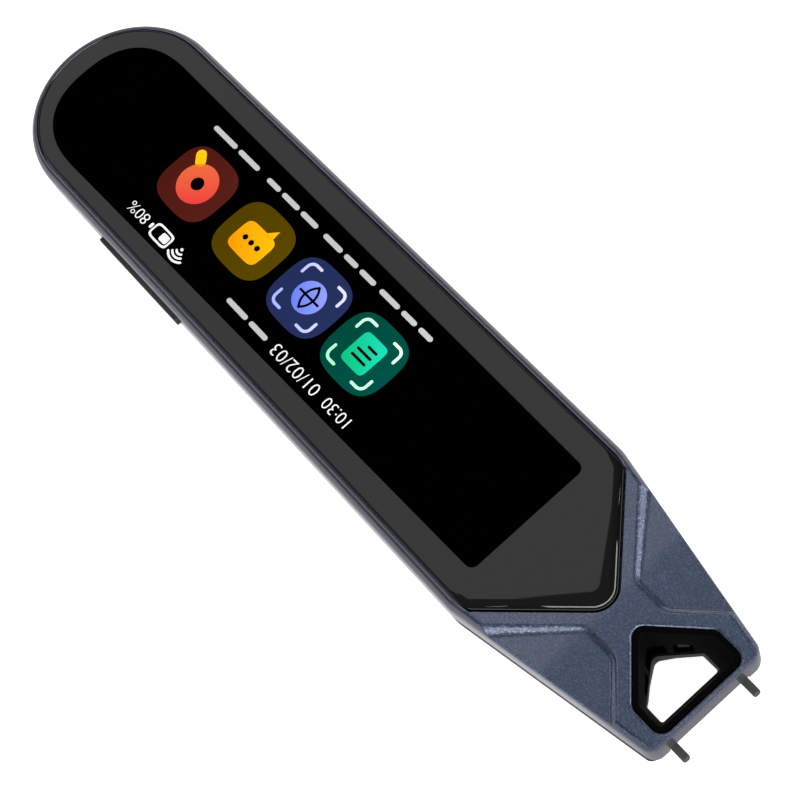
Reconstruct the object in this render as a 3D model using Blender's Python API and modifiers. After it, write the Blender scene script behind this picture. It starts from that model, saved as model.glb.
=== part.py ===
"""Scanning pen: a slim hand scanner with a long touch screen, a see-through nose and two sprung feet.

The pen lies on its back. +X points to the nose and +Z out of the screen. The origin is at the middle of
the outline, on the surface that the pen lies on. All lengths are in metres and all angles in radians.
"""

import math

import bmesh
import bpy
from mathutils import Matrix, Vector

# Clearances
GAP = 0.0003
GLASS_GAP = 0.00025
OVERRUN = 0.001
LEAST_RADIUS = 0.00005

# Body
BODY_LENGTH = 0.1518
BODY_WIDTH = 0.0332
BODY_HEIGHT = 0.01175
WALL = 0.0013
SEAM_HEIGHT = 0.0052
NOSE_WIDTH = 0.0203
TAPER_LENGTH = 0.0343
SHOULDER_RADIUS = 0.008
NOSE_RADIUS = 0.0021
TAIL_FLAT = 0.0001
SIDE_BELLY = 0.0001
TOP_EDGE_WIDTH = 0.0012
TOP_EDGE_DEPTH = 0.0019
FRONT_EDGE_WIDTH = 0.0002
BASE_EDGE_WIDTH = 0.0029
BASE_EDGE_DEPTH = 0.0032
CHIN_INSET = 0.0024
CHIN_WALL = 0.0008
UNDERCUT_LENGTH = 0.030
UNDERCUT_HEIGHT = 0.0019

# Screen glass and the deck that carries it
GLASS_BORDER = 0.0016
GLASS_PROUD = 0.00045
GLASS_THICKNESS = 0.0011
GLASS_ARROW_LENGTH = 0.0148
GLASS_SHOULDER_RADIUS = 0.0022
GLASS_TIP_RADIUS = 0.0035
GLASS_BEVEL = 0.0005
TAPE_THICKNESS = 0.00025
TAPE_INSET = 0.0004
TAPE_WIDTH = 0.0016
DECK_THICKNESS = 0.0009
DECK_CLEARANCE = 0.0005

# Display
DISPLAY_MARGIN = 0.0031
DISPLAY_THICKNESS = 0.0016
DISPLAY_FROM_TIP = 0.0175
DISPLAY_FROM_TAIL = 0.02495
TRAY_THICKNESS = 0.0004
FLEX_THICKNESS = 0.0002

# Nose window, its lining and the bands of the raised cross on the nose
FRONT_RIM = 0.00055
WINDOW_LENGTH = 0.0143
WINDOW_SIDE_LENGTH = 0.0058
WINDOW_WIDTH = 0.0158
WINDOW_APEX_RADIUS = 0.0018
WINDOW_CORNER_RADIUS = 0.0019
THROAT_LENGTH = 0.00744
THROAT_SIDE_LENGTH = 0.00307
THROAT_WIDTH = 0.01074
THROAT_FRONT_INSET = 0.00434
THROAT_APEX_RADIUS = 0.0011
THROAT_CORNER_RADIUS = 0.0004
THROAT_HEIGHT = 0.0022
LINER_WALL = 0.0007
LINER_LOW = 0.0032
BRIDGE_LENGTH = 0.0025
BRIDGE_WIDTH = 0.0082
ARROW_BAND = 0.0019
WINDOW_BAND = 0.0017
FACET_DEPTH = 0.0006
FACET_SLOPE = 0.0007
FACET_RADIUS = 0.0005

# Scan slot, camera and scan lights
SLOT_LOW = 0.0033
SLOT_HIGH = 0.00665
SLOT_WIDTH = 0.0147
PORT_LOW = 0.0036
PORT_HIGH = 0.0064
LINER_SLOT_WIDTH = 0.0094
CAMERA_PORT_WIDTH = 0.0038
LENS_COVER_THICKNESS = 0.0008
LENS_COVER_WIDTH = 0.0056
LENS_COVER_LAP = 0.0006
LENS_RADIUS = 0.002
LENS_LENGTH = 0.0043
LENS_REACH = 0.00205
LENS_POCKET = 0.0012
HOLDER_LENGTH = 0.0037
HOLDER_WIDTH = 0.0068
HOLDER_HEIGHT = 0.0044
CAMERA_BOARD_THICKNESS = 0.0006
CAMERA_FLEX_WIDTH = 0.004
LIGHT_LENGTH = 0.0036
LIGHT_THICKNESS = 0.0006
LIGHT_PLACE_SHARE = 0.6
EMITTER_LENGTH = 0.0016
EMITTER_HEIGHT = 0.0012
EMITTER_REACH = 0.0006

# Trigger: a fork with two feet, its springs and its switch
FOOT_REACH = 0.0022
FOOT_SPACING = 0.013
FORK_WIDTH = 0.0012
FORK_HEIGHT = 0.0012
FORK_LOW = 0.00375
RAIL_SPACING = 0.0158
CROSSBAR_FROM_APEX = 0.0096
JOG_START = 0.0052
JOG_LENGTH = 0.0041
TRIGGER_TRAVEL = 0.0005
SPRING_LENGTH = 0.0041
SPRING_RADIUS = 0.0009
SPRING_WIRE = 0.00015
SPRING_TURNS = 5
SPRING_SPACING = 0.010
SPRING_STOP_WIDTH = 0.003
RIB_THICKNESS = 0.001
SWITCH_LENGTH = 0.0023
SWITCH_WIDTH = 0.0036
STEM_RADIUS = 0.0005
STEM_PROUD = 0.0007
STEM_LENGTH = 0.0015
STEM_BORE_GAP = 0.00025

# Side key
KEY_FROM_TAIL = 0.0407
KEY_LENGTH = 0.0215
KEY_HEIGHT = 0.0022
KEY_PROUD = 0.00065
KEY_MIDDLE = 0.0074
KEY_GAP = 0.0002
KEY_FLANGE = 0.0005
KEY_FLANGE_LAP = 0.0005
KEY_TRAVEL = 0.0004
KEY_SWITCH_LENGTH = 0.0042
KEY_SWITCH_DEPTH = 0.0014
KEY_SWITCH_HEIGHT = 0.0024
KEY_STEM_PROUD = 0.0003
KEY_STEM_LENGTH = 0.0009
KEY_RIB_THICKNESS = 0.0008
KEY_RIB_LENGTH = 0.008

# Boards and what stands on them
BOARD_THICKNESS = 0.0008
BOARD_LENGTH = 0.0532
BOARD_NECK_LENGTH = 0.0078
BOARD_NECK_CLEARANCE = 0.0028
BOARD_SIDE_CLEARANCE = 0.0019
BOARD_FROM_CROSSBAR = 0.0015
CHIP_HEIGHT = 0.0009
CAN_HEIGHT = 0.0015
CAN_WALL = 0.0002
CAN_LENGTH = 0.020
CAN_WIDTH = 0.016
CAN_FROM_BOARD_TAIL = 0.013
PROCESSOR_SIDE = 0.0105
MEMORY_LENGTH = 0.0058
MEMORY_WIDTH = 0.011
CHIP_SPACING = 0.0009
RADIO_LENGTH = 0.012
RADIO_WIDTH = 0.010
POWER_CHIP_SIDE = 0.005
POST_RADIUS = 0.0011
POST_INSET = 0.0022

# Battery
BATTERY_SIDE_CLEARANCE = 0.0047
BATTERY_RADIUS = 0.0008
BATTERY_ENDS_CLEARANCE = 0.003
PAD_THICKNESS = 0.0002
PAD_INSET = 0.002
PLUG_LENGTH = 0.003
PLUG_WIDTH = 0.005
PLUG_INSET = 0.0008
PLUG_FROM_EDGE = 0.0049
LEAD_RADIUS = 0.0003
LEAD_SPACING = 0.0014

# Tail: charge port, its board, microphone, speaker
PORT_SETBACK = 0.0007
PORT_WIDTH = 0.00894
PORT_HEIGHT = 0.0032
PORT_LENGTH = 0.0073
PORT_SHELL_WALL = 0.0003
PORT_BACK_LENGTH = 0.0016
TONGUE_THICKNESS = 0.0007
TONGUE_WIDTH = 0.0066
TONGUE_SETBACK = 0.0009
PORT_BOARD_THICKNESS = 0.00055
PORT_BOARD_LENGTH = 0.012
PORT_BOARD_WIDTH = 0.015
PORT_BOARD_SETBACK = 0.004
MICROPHONE_LENGTH = 0.003
MICROPHONE_WIDTH = 0.0022
MICROPHONE_HEIGHT = 0.0009
MICROPHONE_HOLE_RADIUS = 0.0004
MICROPHONE_PLACE = 0.0066
SPEAKER_LENGTH = 0.0105
SPEAKER_WIDTH = 0.014
SPEAKER_RADIUS = 0.002
SPEAKER_SETBACK = 0.0062
SPEAKER_HEIGHT = 0.00175
MESH_THICKNESS = 0.00015
GASKET_WIDTH = 0.001
GASKET_THICKNESS = 0.0003
SPEAKER_HOLE_RADIUS = 0.00045
SPEAKER_HOLE_SPACING = 0.0018
SPEAKER_HOLE_COLUMNS = 3
SPEAKER_HOLE_ROWS = 5
RIBBON_WIDTH = 0.006

# Antenna and screws
ANTENNA_LENGTH = 0.030
ANTENNA_FROM_TAIL = 0.032
ANTENNA_HEIGHT = 0.0029
SCREW_HEAD_RADIUS = 0.0013
SCREW_HEAD_HEIGHT = 0.001
SCREW_HEAD_SETBACK = 0.0006
SCREW_SHANK_RADIUS = 0.00065
SCREW_LENGTH = 0.0066
SCREW_RECESS_RADIUS = 0.0005
SCREW_RECESS_DEPTH = 0.0004
BOSS_WALL = 0.0007
TAIL_SCREW_FROM_TAIL = 0.0195
TAIL_SCREW_FROM_WALL = 0.0048
NOSE_SCREW_FROM_CROSSBAR = 0.0062
NOSE_SCREW_FROM_WALL = 0.0051

# Counts
ARC_STEPS = 5
TAIL_STEPS = 12
EDGE_STEPS = 4
SPRING_TURN_POINTS = 10
ROUND_SIDES = 20
HOLE_SIDES = 10

# Places along the pen
TAIL_X = -(BODY_LENGTH + FOOT_REACH) / 2
NOSE_X = TAIL_X + BODY_LENGTH
SHOULDER_X = NOSE_X - TAPER_LENGTH
HALF_WIDTH = BODY_WIDTH / 2
INNER_HALF_WIDTH = HALF_WIDTH - WALL
WINDOW_FRONT_X = NOSE_X - FRONT_RIM
WINDOW_APEX_X = WINDOW_FRONT_X - WINDOW_LENGTH
THROAT_FRONT_X = NOSE_X - THROAT_FRONT_INSET
THROAT_APEX_X = THROAT_FRONT_X - THROAT_LENGTH
GLASS_TIP_X = WINDOW_APEX_X - BRIDGE_LENGTH
GLASS_SHOULDER_X = GLASS_TIP_X - GLASS_ARROW_LENGTH
GLASS_TAIL_X = TAIL_X + GLASS_BORDER
GLASS_HALF_WIDTH = HALF_WIDTH - GLASS_BORDER
CROSSBAR_X = WINDOW_APEX_X - CROSSBAR_FROM_APEX
DISPLAY_NOSE_X = GLASS_TIP_X - DISPLAY_FROM_TIP
DISPLAY_TAIL_X = TAIL_X + DISPLAY_FROM_TAIL
DISPLAY_HALF_WIDTH = GLASS_HALF_WIDTH - DISPLAY_MARGIN
BOARD_NOSE_X = CROSSBAR_X - FORK_WIDTH / 2 - BOARD_FROM_CROSSBAR
BOARD_NECK_Y = INNER_HALF_WIDTH - NOSE_SCREW_FROM_WALL - BOARD_NECK_CLEARANCE
BOARD_TAIL_X = BOARD_NOSE_X - BOARD_LENGTH
PORT_MOUTH_X = TAIL_X + PORT_SETBACK
PORT_BACK_X = PORT_MOUTH_X + PORT_LENGTH
PORT_BOARD_TAIL_X = TAIL_X + PORT_BOARD_SETBACK
PORT_BOARD_NOSE_X = PORT_BOARD_TAIL_X + PORT_BOARD_LENGTH
SPEAKER_TAIL_X = TAIL_X + SPEAKER_SETBACK
SPEAKER_NOSE_X = SPEAKER_TAIL_X + SPEAKER_LENGTH
TAIL_SCREW_X = TAIL_X + TAIL_SCREW_FROM_TAIL
NOSE_SCREW_X = CROSSBAR_X - NOSE_SCREW_FROM_CROSSBAR
BATTERY_TAIL_X = TAIL_SCREW_X + BATTERY_ENDS_CLEARANCE
BATTERY_NOSE_X = BOARD_TAIL_X - BATTERY_ENDS_CLEARANCE
KEY_X = TAIL_X + KEY_FROM_TAIL

# Heights
GLASS_TOP_Z = BODY_HEIGHT + GLASS_PROUD
GLASS_LOW_Z = GLASS_TOP_Z - GLASS_THICKNESS
DECK_TOP_Z = GLASS_LOW_Z - TAPE_THICKNESS - 2 * GAP
DECK_LOW_Z = DECK_TOP_Z - DECK_THICKNESS
DISPLAY_LOW_Z = GLASS_LOW_Z - GAP - DISPLAY_THICKNESS
TRAY_LOW_Z = DISPLAY_LOW_Z - GAP - TRAY_THICKNESS
BOARD_TOP_Z = TRAY_LOW_Z - CHIP_HEIGHT - 2 * GAP
BOARD_LOW_Z = BOARD_TOP_Z - BOARD_THICKNESS
UPPER_LOW_Z = SEAM_HEIGHT + GAP / 2
REAR_TOP_Z = SEAM_HEIGHT - GAP / 2
FORK_MIDDLE_Z = FORK_LOW + FORK_HEIGHT / 2
PORT_MIDDLE_Z = (PORT_LOW + PORT_HIGH) / 2
BATTERY_LOW_Z = WALL + PAD_THICKNESS + 2 * GAP
RIBBON_LOW_Z = BOARD_TOP_Z + GAP + FLEX_THICKNESS
BATTERY_TOP_Z = RIBBON_LOW_Z - GAP
PORT_BOARD_LOW_Z = DECK_LOW_Z - GAP - PORT_BOARD_THICKNESS
PORT_TOP_Z = PORT_BOARD_LOW_Z - GAP
PORT_LOW_Z = PORT_TOP_Z - PORT_HEIGHT


def start_collections():
    """Empties the scene and makes the collections of the parts and of the cutters."""
    for old in list(bpy.data.objects):
        bpy.data.objects.remove(old, do_unlink=True)
    made = []
    for name in ("scanning_pen", "cutters"):
        collection = bpy.data.collections.new(name)
        bpy.context.scene.collection.children.link(collection)
        made.append(collection)
    return made


PARTS, CUTTERS = start_collections()


def finish_mesh(obj, bm):
    """Writes the mesh with its faces outward and its round sides smooth."""
    bmesh.ops.recalc_face_normals(bm, faces=bm.faces)
    bm.to_mesh(obj.data)
    bm.free()
    obj.data.shade_smooth()
    obj.data.set_sharp_from_angle(angle=math.radians(35))
    return obj


def mesh_object(name, bm, collection=None):
    mesh = bpy.data.meshes.new(name)
    obj = bpy.data.objects.new(name, mesh)
    (collection or CUTTERS).objects.link(obj)
    return finish_mesh(obj, bm)


def box(name, x, y, z, collection=None):
    """A block between the two ends given for each axis."""
    bm = bmesh.new()
    bmesh.ops.create_cube(bm, size=1.0)
    size = [high - low for low, high in (x, y, z)]
    middle = [(high + low) / 2 for low, high in (x, y, z)]
    bmesh.ops.scale(bm, vec=size, verts=bm.verts)
    bmesh.ops.translate(bm, vec=middle, verts=bm.verts)
    return mesh_object(name, bm, collection)


def rod(name, start, end, radius, collection=None, sides=ROUND_SIDES):
    """A round bar from one point to another."""
    start, end = Vector(start), Vector(end)
    bm = bmesh.new()
    bmesh.ops.create_cone(
        bm,
        cap_ends=True,
        segments=sides,
        radius1=radius,
        radius2=radius,
        depth=(end - start).length,
    )
    turn = (end - start).to_track_quat("Z", "Y").to_matrix().to_4x4()
    bmesh.ops.transform(bm, matrix=Matrix.Translation((start + end) / 2) @ turn, verts=bm.verts)
    return mesh_object(name, bm, collection)


def as_mesh(guide, collection=None):
    """Turns a curve object into a mesh object with its caps welded on, and removes the curve."""
    bpy.context.scene.collection.objects.link(guide)
    bpy.context.view_layer.update()
    evaluated = guide.evaluated_get(bpy.context.evaluated_depsgraph_get())
    mesh = bpy.data.meshes.new_from_object(evaluated)
    obj = bpy.data.objects.new(guide.name, mesh)
    obj.matrix_world = guide.matrix_world
    name = guide.name
    bpy.data.objects.remove(guide, do_unlink=True)
    obj.name = name
    (collection or CUTTERS).objects.link(obj)
    bm = bmesh.new()
    bm.from_mesh(mesh)
    bmesh.ops.remove_doubles(bm, verts=bm.verts, dist=LEAST_RADIUS / 10)
    return finish_mesh(obj, bm)


def plate(name, outline, low, high, collection=None, upright=False):
    """A filled outline given thickness: flat in X and Y, or upright in X and Z with its thickness in Y."""
    curve = bpy.data.curves.new(name, "CURVE")
    curve.dimensions = "2D"
    curve.fill_mode = "BOTH"
    curve.extrude = (high - low) / 2
    spline = curve.splines.new("POLY")
    spline.points.add(len(outline) - 1)
    for point, (along, across) in zip(spline.points, outline):
        point.co = (along, across, 0, 1)
    spline.use_cyclic_u = True
    guide = bpy.data.objects.new(name, curve)
    if upright:
        guide.rotation_euler = (math.pi / 2, 0, 0)
        guide.location = (0, (low + high) / 2, 0)
    else:
        guide.location = (0, 0, (low + high) / 2)
    return as_mesh(guide, collection)


def wire(name, points, radius, collection=None, bevel_resolution=1):
    """A round wire through the points."""
    curve = bpy.data.curves.new(name, "CURVE")
    curve.dimensions = "3D"
    curve.bevel_depth = radius
    curve.bevel_resolution = bevel_resolution
    curve.use_fill_caps = True
    spline = curve.splines.new("POLY")
    spline.points.add(len(points) - 1)
    for point, place in zip(spline.points, points):
        point.co = (*place, 1)
    return as_mesh(bpy.data.objects.new(name, curve), collection)


def rounded(corners, insets=0.0, steps=ARC_STEPS):
    """Points of a convex outline with round corners.

    Each corner is (x, y, radius), counter-clockwise. The side that leaves a corner is moved inward by its
    own inset, and each radius shrinks by the larger inset beside it.
    """
    count = len(corners)
    if not isinstance(insets, (list, tuple)):
        insets = [insets] * count
    sides = []
    for i, inset in enumerate(insets):
        start, end = Vector(corners[i][:2]), Vector(corners[(i + 1) % count][:2])
        along = (end - start).normalized()
        inward = Vector((-along.y, along.x))
        sides.append((start + inward * inset, along, inward))
    points = []
    for i in range(count):
        (before, along_before, inward_before) = sides[i - 1]
        (after, along_after, inward_after) = sides[i]
        cross = along_before.x * along_after.y - along_before.y * along_after.x
        apart = after - before
        reach = (apart.x * along_after.y - apart.y * along_after.x) / cross
        corner = before + along_before * reach
        radius = max(corners[i][2] - max(insets[i - 1], insets[i]), LEAST_RADIUS)
        turn = math.atan2(cross, along_before.dot(along_after))
        centre = corner - along_before * radius * math.tan(turn / 2) + inward_before * radius
        first = math.atan2(-inward_before.y, -inward_before.x)
        arc = steps[i] if isinstance(steps, (list, tuple)) else steps
        for step in range(arc + 1):
            angle = first + turn * step / arc
            points.append((centre.x + radius * math.cos(angle), centre.y + radius * math.sin(angle)))
    return points


def loft(name, rings, collection=None):
    """A closed skin through outlines of equal count, each with its height, from the lowest to the highest."""
    bm = bmesh.new()
    loops = [[bm.verts.new((x, y, z)) for x, y in outline] for outline, z in rings]
    for lower, upper in zip(loops, loops[1:]):
        for i in range(len(lower)):
            j = (i + 1) % len(lower)
            bm.faces.new((lower[i], lower[j], upper[j], upper[i]))
    bm.faces.new(reversed(loops[0]))
    bm.faces.new(loops[-1])
    return mesh_object(name, bm, collection)


def turned(name, profile, collection=None, sides=ROUND_SIDES):
    """A turned solid about Z. The profile is (radius, height) from the top of the axis to its foot."""
    bm = bmesh.new()
    verts = [bm.verts.new((radius, 0, height)) for radius, height in profile]
    for upper, lower in zip(verts, verts[1:]):
        bm.edges.new((upper, lower))
    mesh = bpy.data.meshes.new(name)
    bm.to_mesh(mesh)
    bm.free()
    obj = bpy.data.objects.new(name, mesh)
    (collection or CUTTERS).objects.link(obj)
    screw = obj.modifiers.new("turn", "SCREW")
    screw.steps = sides
    screw.render_steps = sides
    screw.use_merge_vertices = True
    screw.merge_threshold = LEAST_RADIUS / 10
    return obj


def boolean(obj, operation, tools):
    """Adds one Boolean for each tool, and keeps the tools out of the build."""
    for tool in tools:
        modifier = obj.modifiers.new(tool.name, "BOOLEAN")
        modifier.operation = operation
        modifier.object = tool
        modifier.solver = "EXACT"
        tool.hide_render = True
        tool.display_type = "WIRE"
    return obj


def cut(obj, *tools):
    return boolean(obj, "DIFFERENCE", tools)


def join(obj, *tools):
    return boolean(obj, "UNION", tools)


def slide_to(obj, place):
    """Puts the object's origin on its slide's axis without moving its shape."""
    shift = Vector(place)
    obj.data.transform(Matrix.Translation(-shift))
    obj.location = shift


def paint(obj, colour, roughness, metallic=0.0, alpha=1.0):
    """Gives the object a material of its own."""
    material = bpy.data.materials.new(obj.name)
    material.use_nodes = True
    shader = material.node_tree.nodes["Principled BSDF"]
    shader.inputs["Base Color"].default_value = (*colour, 1)
    shader.inputs["Roughness"].default_value = roughness
    shader.inputs["Metallic"].default_value = metallic
    shader.inputs["Alpha"].default_value = alpha
    obj.data.materials.clear()
    obj.data.materials.append(material)
    return obj


NAVY = (0.055, 0.068, 0.120)
BLACK = (0.008, 0.008, 0.009)
CHARCOAL = (0.030, 0.030, 0.031)
STEEL = (0.62, 0.62, 0.63)
GREEN = (0.012, 0.060, 0.035)
AMBER = (0.45, 0.22, 0.03)
SILVER = (0.55, 0.56, 0.58)
WHITE = (0.80, 0.80, 0.78)
RED = (0.55, 0.02, 0.02)


def body_corners():
    """The pen's outline from above: a round tail, straight sides, and a taper to the nose."""
    tail_radius = HALF_WIDTH - TAIL_FLAT / 2
    nose = NOSE_WIDTH / 2
    return [
        (TAIL_X, -HALF_WIDTH, tail_radius),
        (SHOULDER_X, -HALF_WIDTH, SHOULDER_RADIUS),
        (NOSE_X, -nose, NOSE_RADIUS),
        (NOSE_X, nose, NOSE_RADIUS),
        (SHOULDER_X, HALF_WIDTH, SHOULDER_RADIUS),
        (TAIL_X, HALF_WIDTH, tail_radius),
    ]


def body_ring(inset, front_inset):
    """The pen's outline moved inward, with an inset of its own at the front."""
    steps = [TAIL_STEPS, ARC_STEPS, ARC_STEPS, ARC_STEPS, ARC_STEPS, TAIL_STEPS]
    return rounded(body_corners(), [inset, inset, front_inset, inset, inset, inset], steps)


def glass_ring(inset):
    """The outline of the screen glass, an arrow at the nose and a half circle at the tail."""
    tail_radius = GLASS_HALF_WIDTH - TAIL_FLAT / 2
    corners = [
        (GLASS_TAIL_X, -GLASS_HALF_WIDTH, tail_radius),
        (GLASS_SHOULDER_X, -GLASS_HALF_WIDTH, GLASS_SHOULDER_RADIUS),
        (GLASS_TIP_X, 0, GLASS_TIP_RADIUS),
        (GLASS_SHOULDER_X, GLASS_HALF_WIDTH, GLASS_SHOULDER_RADIUS),
        (GLASS_TAIL_X, GLASS_HALF_WIDTH, tail_radius),
    ]
    return rounded(corners, inset, [TAIL_STEPS, ARC_STEPS, ARC_STEPS, ARC_STEPS, TAIL_STEPS])


def window_corners(apex_x, length, side_length, width, apex_radius, corner_radius):
    """A five-sided outline whose point is toward the tail."""
    front_x = apex_x + length
    cut_x = front_x - side_length
    return [
        (apex_x, 0, apex_radius),
        (cut_x, -width / 2, corner_radius),
        (front_x, -width / 2, corner_radius),
        (front_x, width / 2, corner_radius),
        (cut_x, width / 2, corner_radius),
    ]


def mouth_ring(grow=0.0):
    """The inside of the lining at the top of the nose."""
    corners = window_corners(
        WINDOW_APEX_X,
        WINDOW_LENGTH,
        WINDOW_SIDE_LENGTH,
        WINDOW_WIDTH,
        WINDOW_APEX_RADIUS,
        WINDOW_CORNER_RADIUS,
    )
    return rounded(corners, GAP + LINER_WALL - grow)


def throat_ring(grow=0.0):
    """The inside of the window near the underside."""
    corners = window_corners(
        THROAT_APEX_X,
        THROAT_LENGTH,
        THROAT_SIDE_LENGTH,
        THROAT_WIDTH,
        THROAT_APEX_RADIUS,
        THROAT_CORNER_RADIUS,
    )
    return rounded(corners, -grow)


def funnel_ring(z, grow=0.0):
    """The inside of the window at a height, read between its throat and its mouth."""
    share = (z - THROAT_HEIGHT) / (BODY_HEIGHT - THROAT_HEIGHT)
    return [
        (low[0] + (high[0] - low[0]) * share, low[1] + (high[1] - low[1]) * share)
        for low, high in zip(throat_ring(grow), mouth_ring(grow))
    ]


def funnel(name, low, high, grow=0.0, collection=None):
    rings = [(funnel_ring(low, grow), low), (funnel_ring(high, grow), high)]
    return loft(name, rings, collection)


def rear_inset(z):
    """How far the rear cover's side lies inside the pen's outline at a height."""
    depth = max(0.0, 1 - z / BASE_EDGE_DEPTH)
    return SIDE_BELLY + BASE_EDGE_WIDTH * (1 - math.sqrt(1 - depth * depth))


def chin_inset(z):
    """How far the rear cover's front lies behind the front of the nose at a height."""
    return SIDE_BELLY + CHIN_INSET * (1 - z / SEAM_HEIGHT)


def undercut(name, raised):
    """A wedge below the nose's sloping underside. It can be raised, to shape the floor above it."""
    start = NOSE_X - UNDERCUT_LENGTH
    slope = UNDERCUT_HEIGHT / UNDERCUT_LENGTH
    end = NOSE_X + OVERRUN
    outline = [
        (start - OVERRUN, raised - OVERRUN * slope),
        (start - OVERRUN, -OVERRUN),
        (end, -OVERRUN),
        (end, raised + (end - start) * slope),
    ]
    return plate(name, outline, -HALF_WIDTH - OVERRUN, HALF_WIDTH + OVERRUN, upright=True)


def screw_places():
    return [
        (x, side * (INNER_HALF_WIDTH - inset))
        for x, inset in ((TAIL_SCREW_X, TAIL_SCREW_FROM_WALL), (NOSE_SCREW_X, NOSE_SCREW_FROM_WALL))
        for side in (-1, 1)
    ]


def board_post_places():
    """The corners of the wide part of the main board, just inside its edges."""
    wide_nose_x = BOARD_NOSE_X - BOARD_NECK_LENGTH
    half = INNER_HALF_WIDTH - BOARD_SIDE_CLEARANCE - POST_INSET
    return [(x, side * half) for x in (BOARD_TAIL_X + POST_INSET, wide_nose_x - POST_INSET) for side in (-1, 1)]


def facet_cutter(side):
    """The recess between two arms of the raised cross on the nose, on one side of the pen."""
    arrow = Vector((GLASS_TIP_X - GLASS_SHOULDER_X, GLASS_HALF_WIDTH)).normalized()
    slant_run = WINDOW_LENGTH - WINDOW_SIDE_LENGTH
    slant = Vector((slant_run, WINDOW_WIDTH / 2)).normalized()
    bridge = BRIDGE_WIDTH / 2
    tail_x = GLASS_TIP_X + ARROW_BAND / arrow.y - bridge * arrow.x / arrow.y
    nose_x = WINDOW_APEX_X - WINDOW_BAND / slant.y + bridge * slant.x / slant.y
    out = HALF_WIDTH + OVERRUN
    far_tail = tail_x - (out - bridge) * arrow.x / arrow.y
    far_nose = nose_x + (out - bridge) * slant.x / slant.y
    corners = [
        (tail_x, bridge, FACET_RADIUS + FACET_SLOPE),
        (nose_x, bridge, FACET_RADIUS + FACET_SLOPE),
        (far_nose, out, FACET_RADIUS),
        (far_tail, out, FACET_RADIUS),
    ]
    step = FACET_SLOPE / FACET_DEPTH
    rings = []
    for z in (BODY_HEIGHT - FACET_DEPTH, BODY_HEIGHT + FACET_DEPTH):
        inset = (BODY_HEIGHT - z) * step
        outline = rounded(corners, [inset, inset, 0.0, inset])
        rings.append(([(x, side * y) for x, y in outline], z))
    return loft(f"facet_{side}", rings)


def upper_case():
    """The blue-grey shell: side walls, the deck under the glass and the nose with its raised cross."""
    front = FRONT_EDGE_WIDTH / TOP_EDGE_WIDTH
    rings = [(body_ring(SIDE_BELLY, 0.0), UPPER_LOW_Z), (body_ring(0.0, 0.0), SEAM_HEIGHT + OVERRUN)]
    edge_low = BODY_HEIGHT - TOP_EDGE_DEPTH
    for step in range(EDGE_STEPS + 1):
        angle = math.pi / 2 * step / EDGE_STEPS
        inset = TOP_EDGE_WIDTH * (1 - math.cos(angle))
        rings.append((body_ring(inset, inset * front), edge_low + TOP_EDGE_DEPTH * math.sin(angle)))
    case = loft("upper_case", rings, PARTS)
    hollow = [(body_ring(WALL, WALL), z) for z in (UPPER_LOW_Z - OVERRUN, DECK_LOW_Z)]
    cut(case, loft("upper_hollow", hollow))
    bosses = []
    for i, (x, y) in enumerate(screw_places()):
        top = (x, y, DECK_TOP_Z - DECK_THICKNESS / 2)
        radius = SCREW_SHANK_RADIUS + GAP + BOSS_WALL
        bosses.append(rod(f"upper_boss_{i}", (x, y, UPPER_LOW_Z), top, radius))
    join(case, *bosses)
    recess = [(glass_ring(-GLASS_GAP), z) for z in (DECK_TOP_Z, GLASS_TOP_Z + OVERRUN)]
    cut(case, loft("glass_recess", recess))
    display_hole = box(
        "display_hole",
        (DISPLAY_TAIL_X - DECK_CLEARANCE, DISPLAY_NOSE_X + DECK_CLEARANCE),
        (-DISPLAY_HALF_WIDTH - DECK_CLEARANCE, DISPLAY_HALF_WIDTH + DECK_CLEARANCE),
        (DECK_LOW_Z - OVERRUN / 2, DECK_TOP_Z + OVERRUN / 2),
    )
    cut(case, display_hole)
    low = UPPER_LOW_Z - OVERRUN
    cut(case, funnel("window_hole", low, BODY_HEIGHT + OVERRUN, LINER_WALL + GAP))
    cut(case, facet_cutter(1), facet_cutter(-1))
    cut(case, slot_cutter("upper_slot"), key_hole(), port_cutter("upper_port"))
    pilots = [
        rod(
            f"pilot_{i}",
            (x, y, low),
            (x, y, SCREW_HEAD_SETBACK + SCREW_LENGTH + 2 * GAP),
            SCREW_SHANK_RADIUS + GAP,
        )
        for i, (x, y) in enumerate(screw_places())
    ]
    cut(case, *pilots, *microphone_holes())
    return paint(case, NAVY, 0.28, 0.35)


def slot_cutter(name):
    """The scan slot through the lower front of the nose, between and around the feet."""
    return box(
        name,
        (NOSE_X - CHIN_INSET - WALL, NOSE_X + OVERRUN),
        (-SLOT_WIDTH / 2, SLOT_WIDTH / 2),
        (SLOT_LOW, SLOT_HIGH),
    )


def stadium(middle_x, middle_z, length, height):
    """A long outline with round ends, in X and Z."""
    radius = height / 2 - TAIL_FLAT / 2
    x, z = length / 2, height / 2
    corners = [(-x, -z, radius), (x, -z, radius), (x, z, radius), (-x, z, radius)]
    return [(middle_x + px, middle_z + pz) for px, pz in rounded(corners)]


def key_hole():
    outline = stadium(KEY_X, KEY_MIDDLE, KEY_LENGTH + 2 * KEY_GAP, KEY_HEIGHT + 2 * KEY_GAP)
    return plate("key_hole", outline, -HALF_WIDTH - OVERRUN, -INNER_HALF_WIDTH + OVERRUN, upright=True)


def port_outline(grow):
    """The charge port seen from the tail, in Y and Z."""
    y, z = PORT_WIDTH / 2 + grow, PORT_HEIGHT / 2 + grow
    radius = z - TAIL_FLAT
    corners = [(-y, -z, radius), (y, -z, radius), (y, z, radius), (-y, z, radius)]
    middle = PORT_LOW_Z + PORT_HEIGHT / 2
    return [(py, middle + pz) for py, pz in rounded(corners)]


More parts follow.
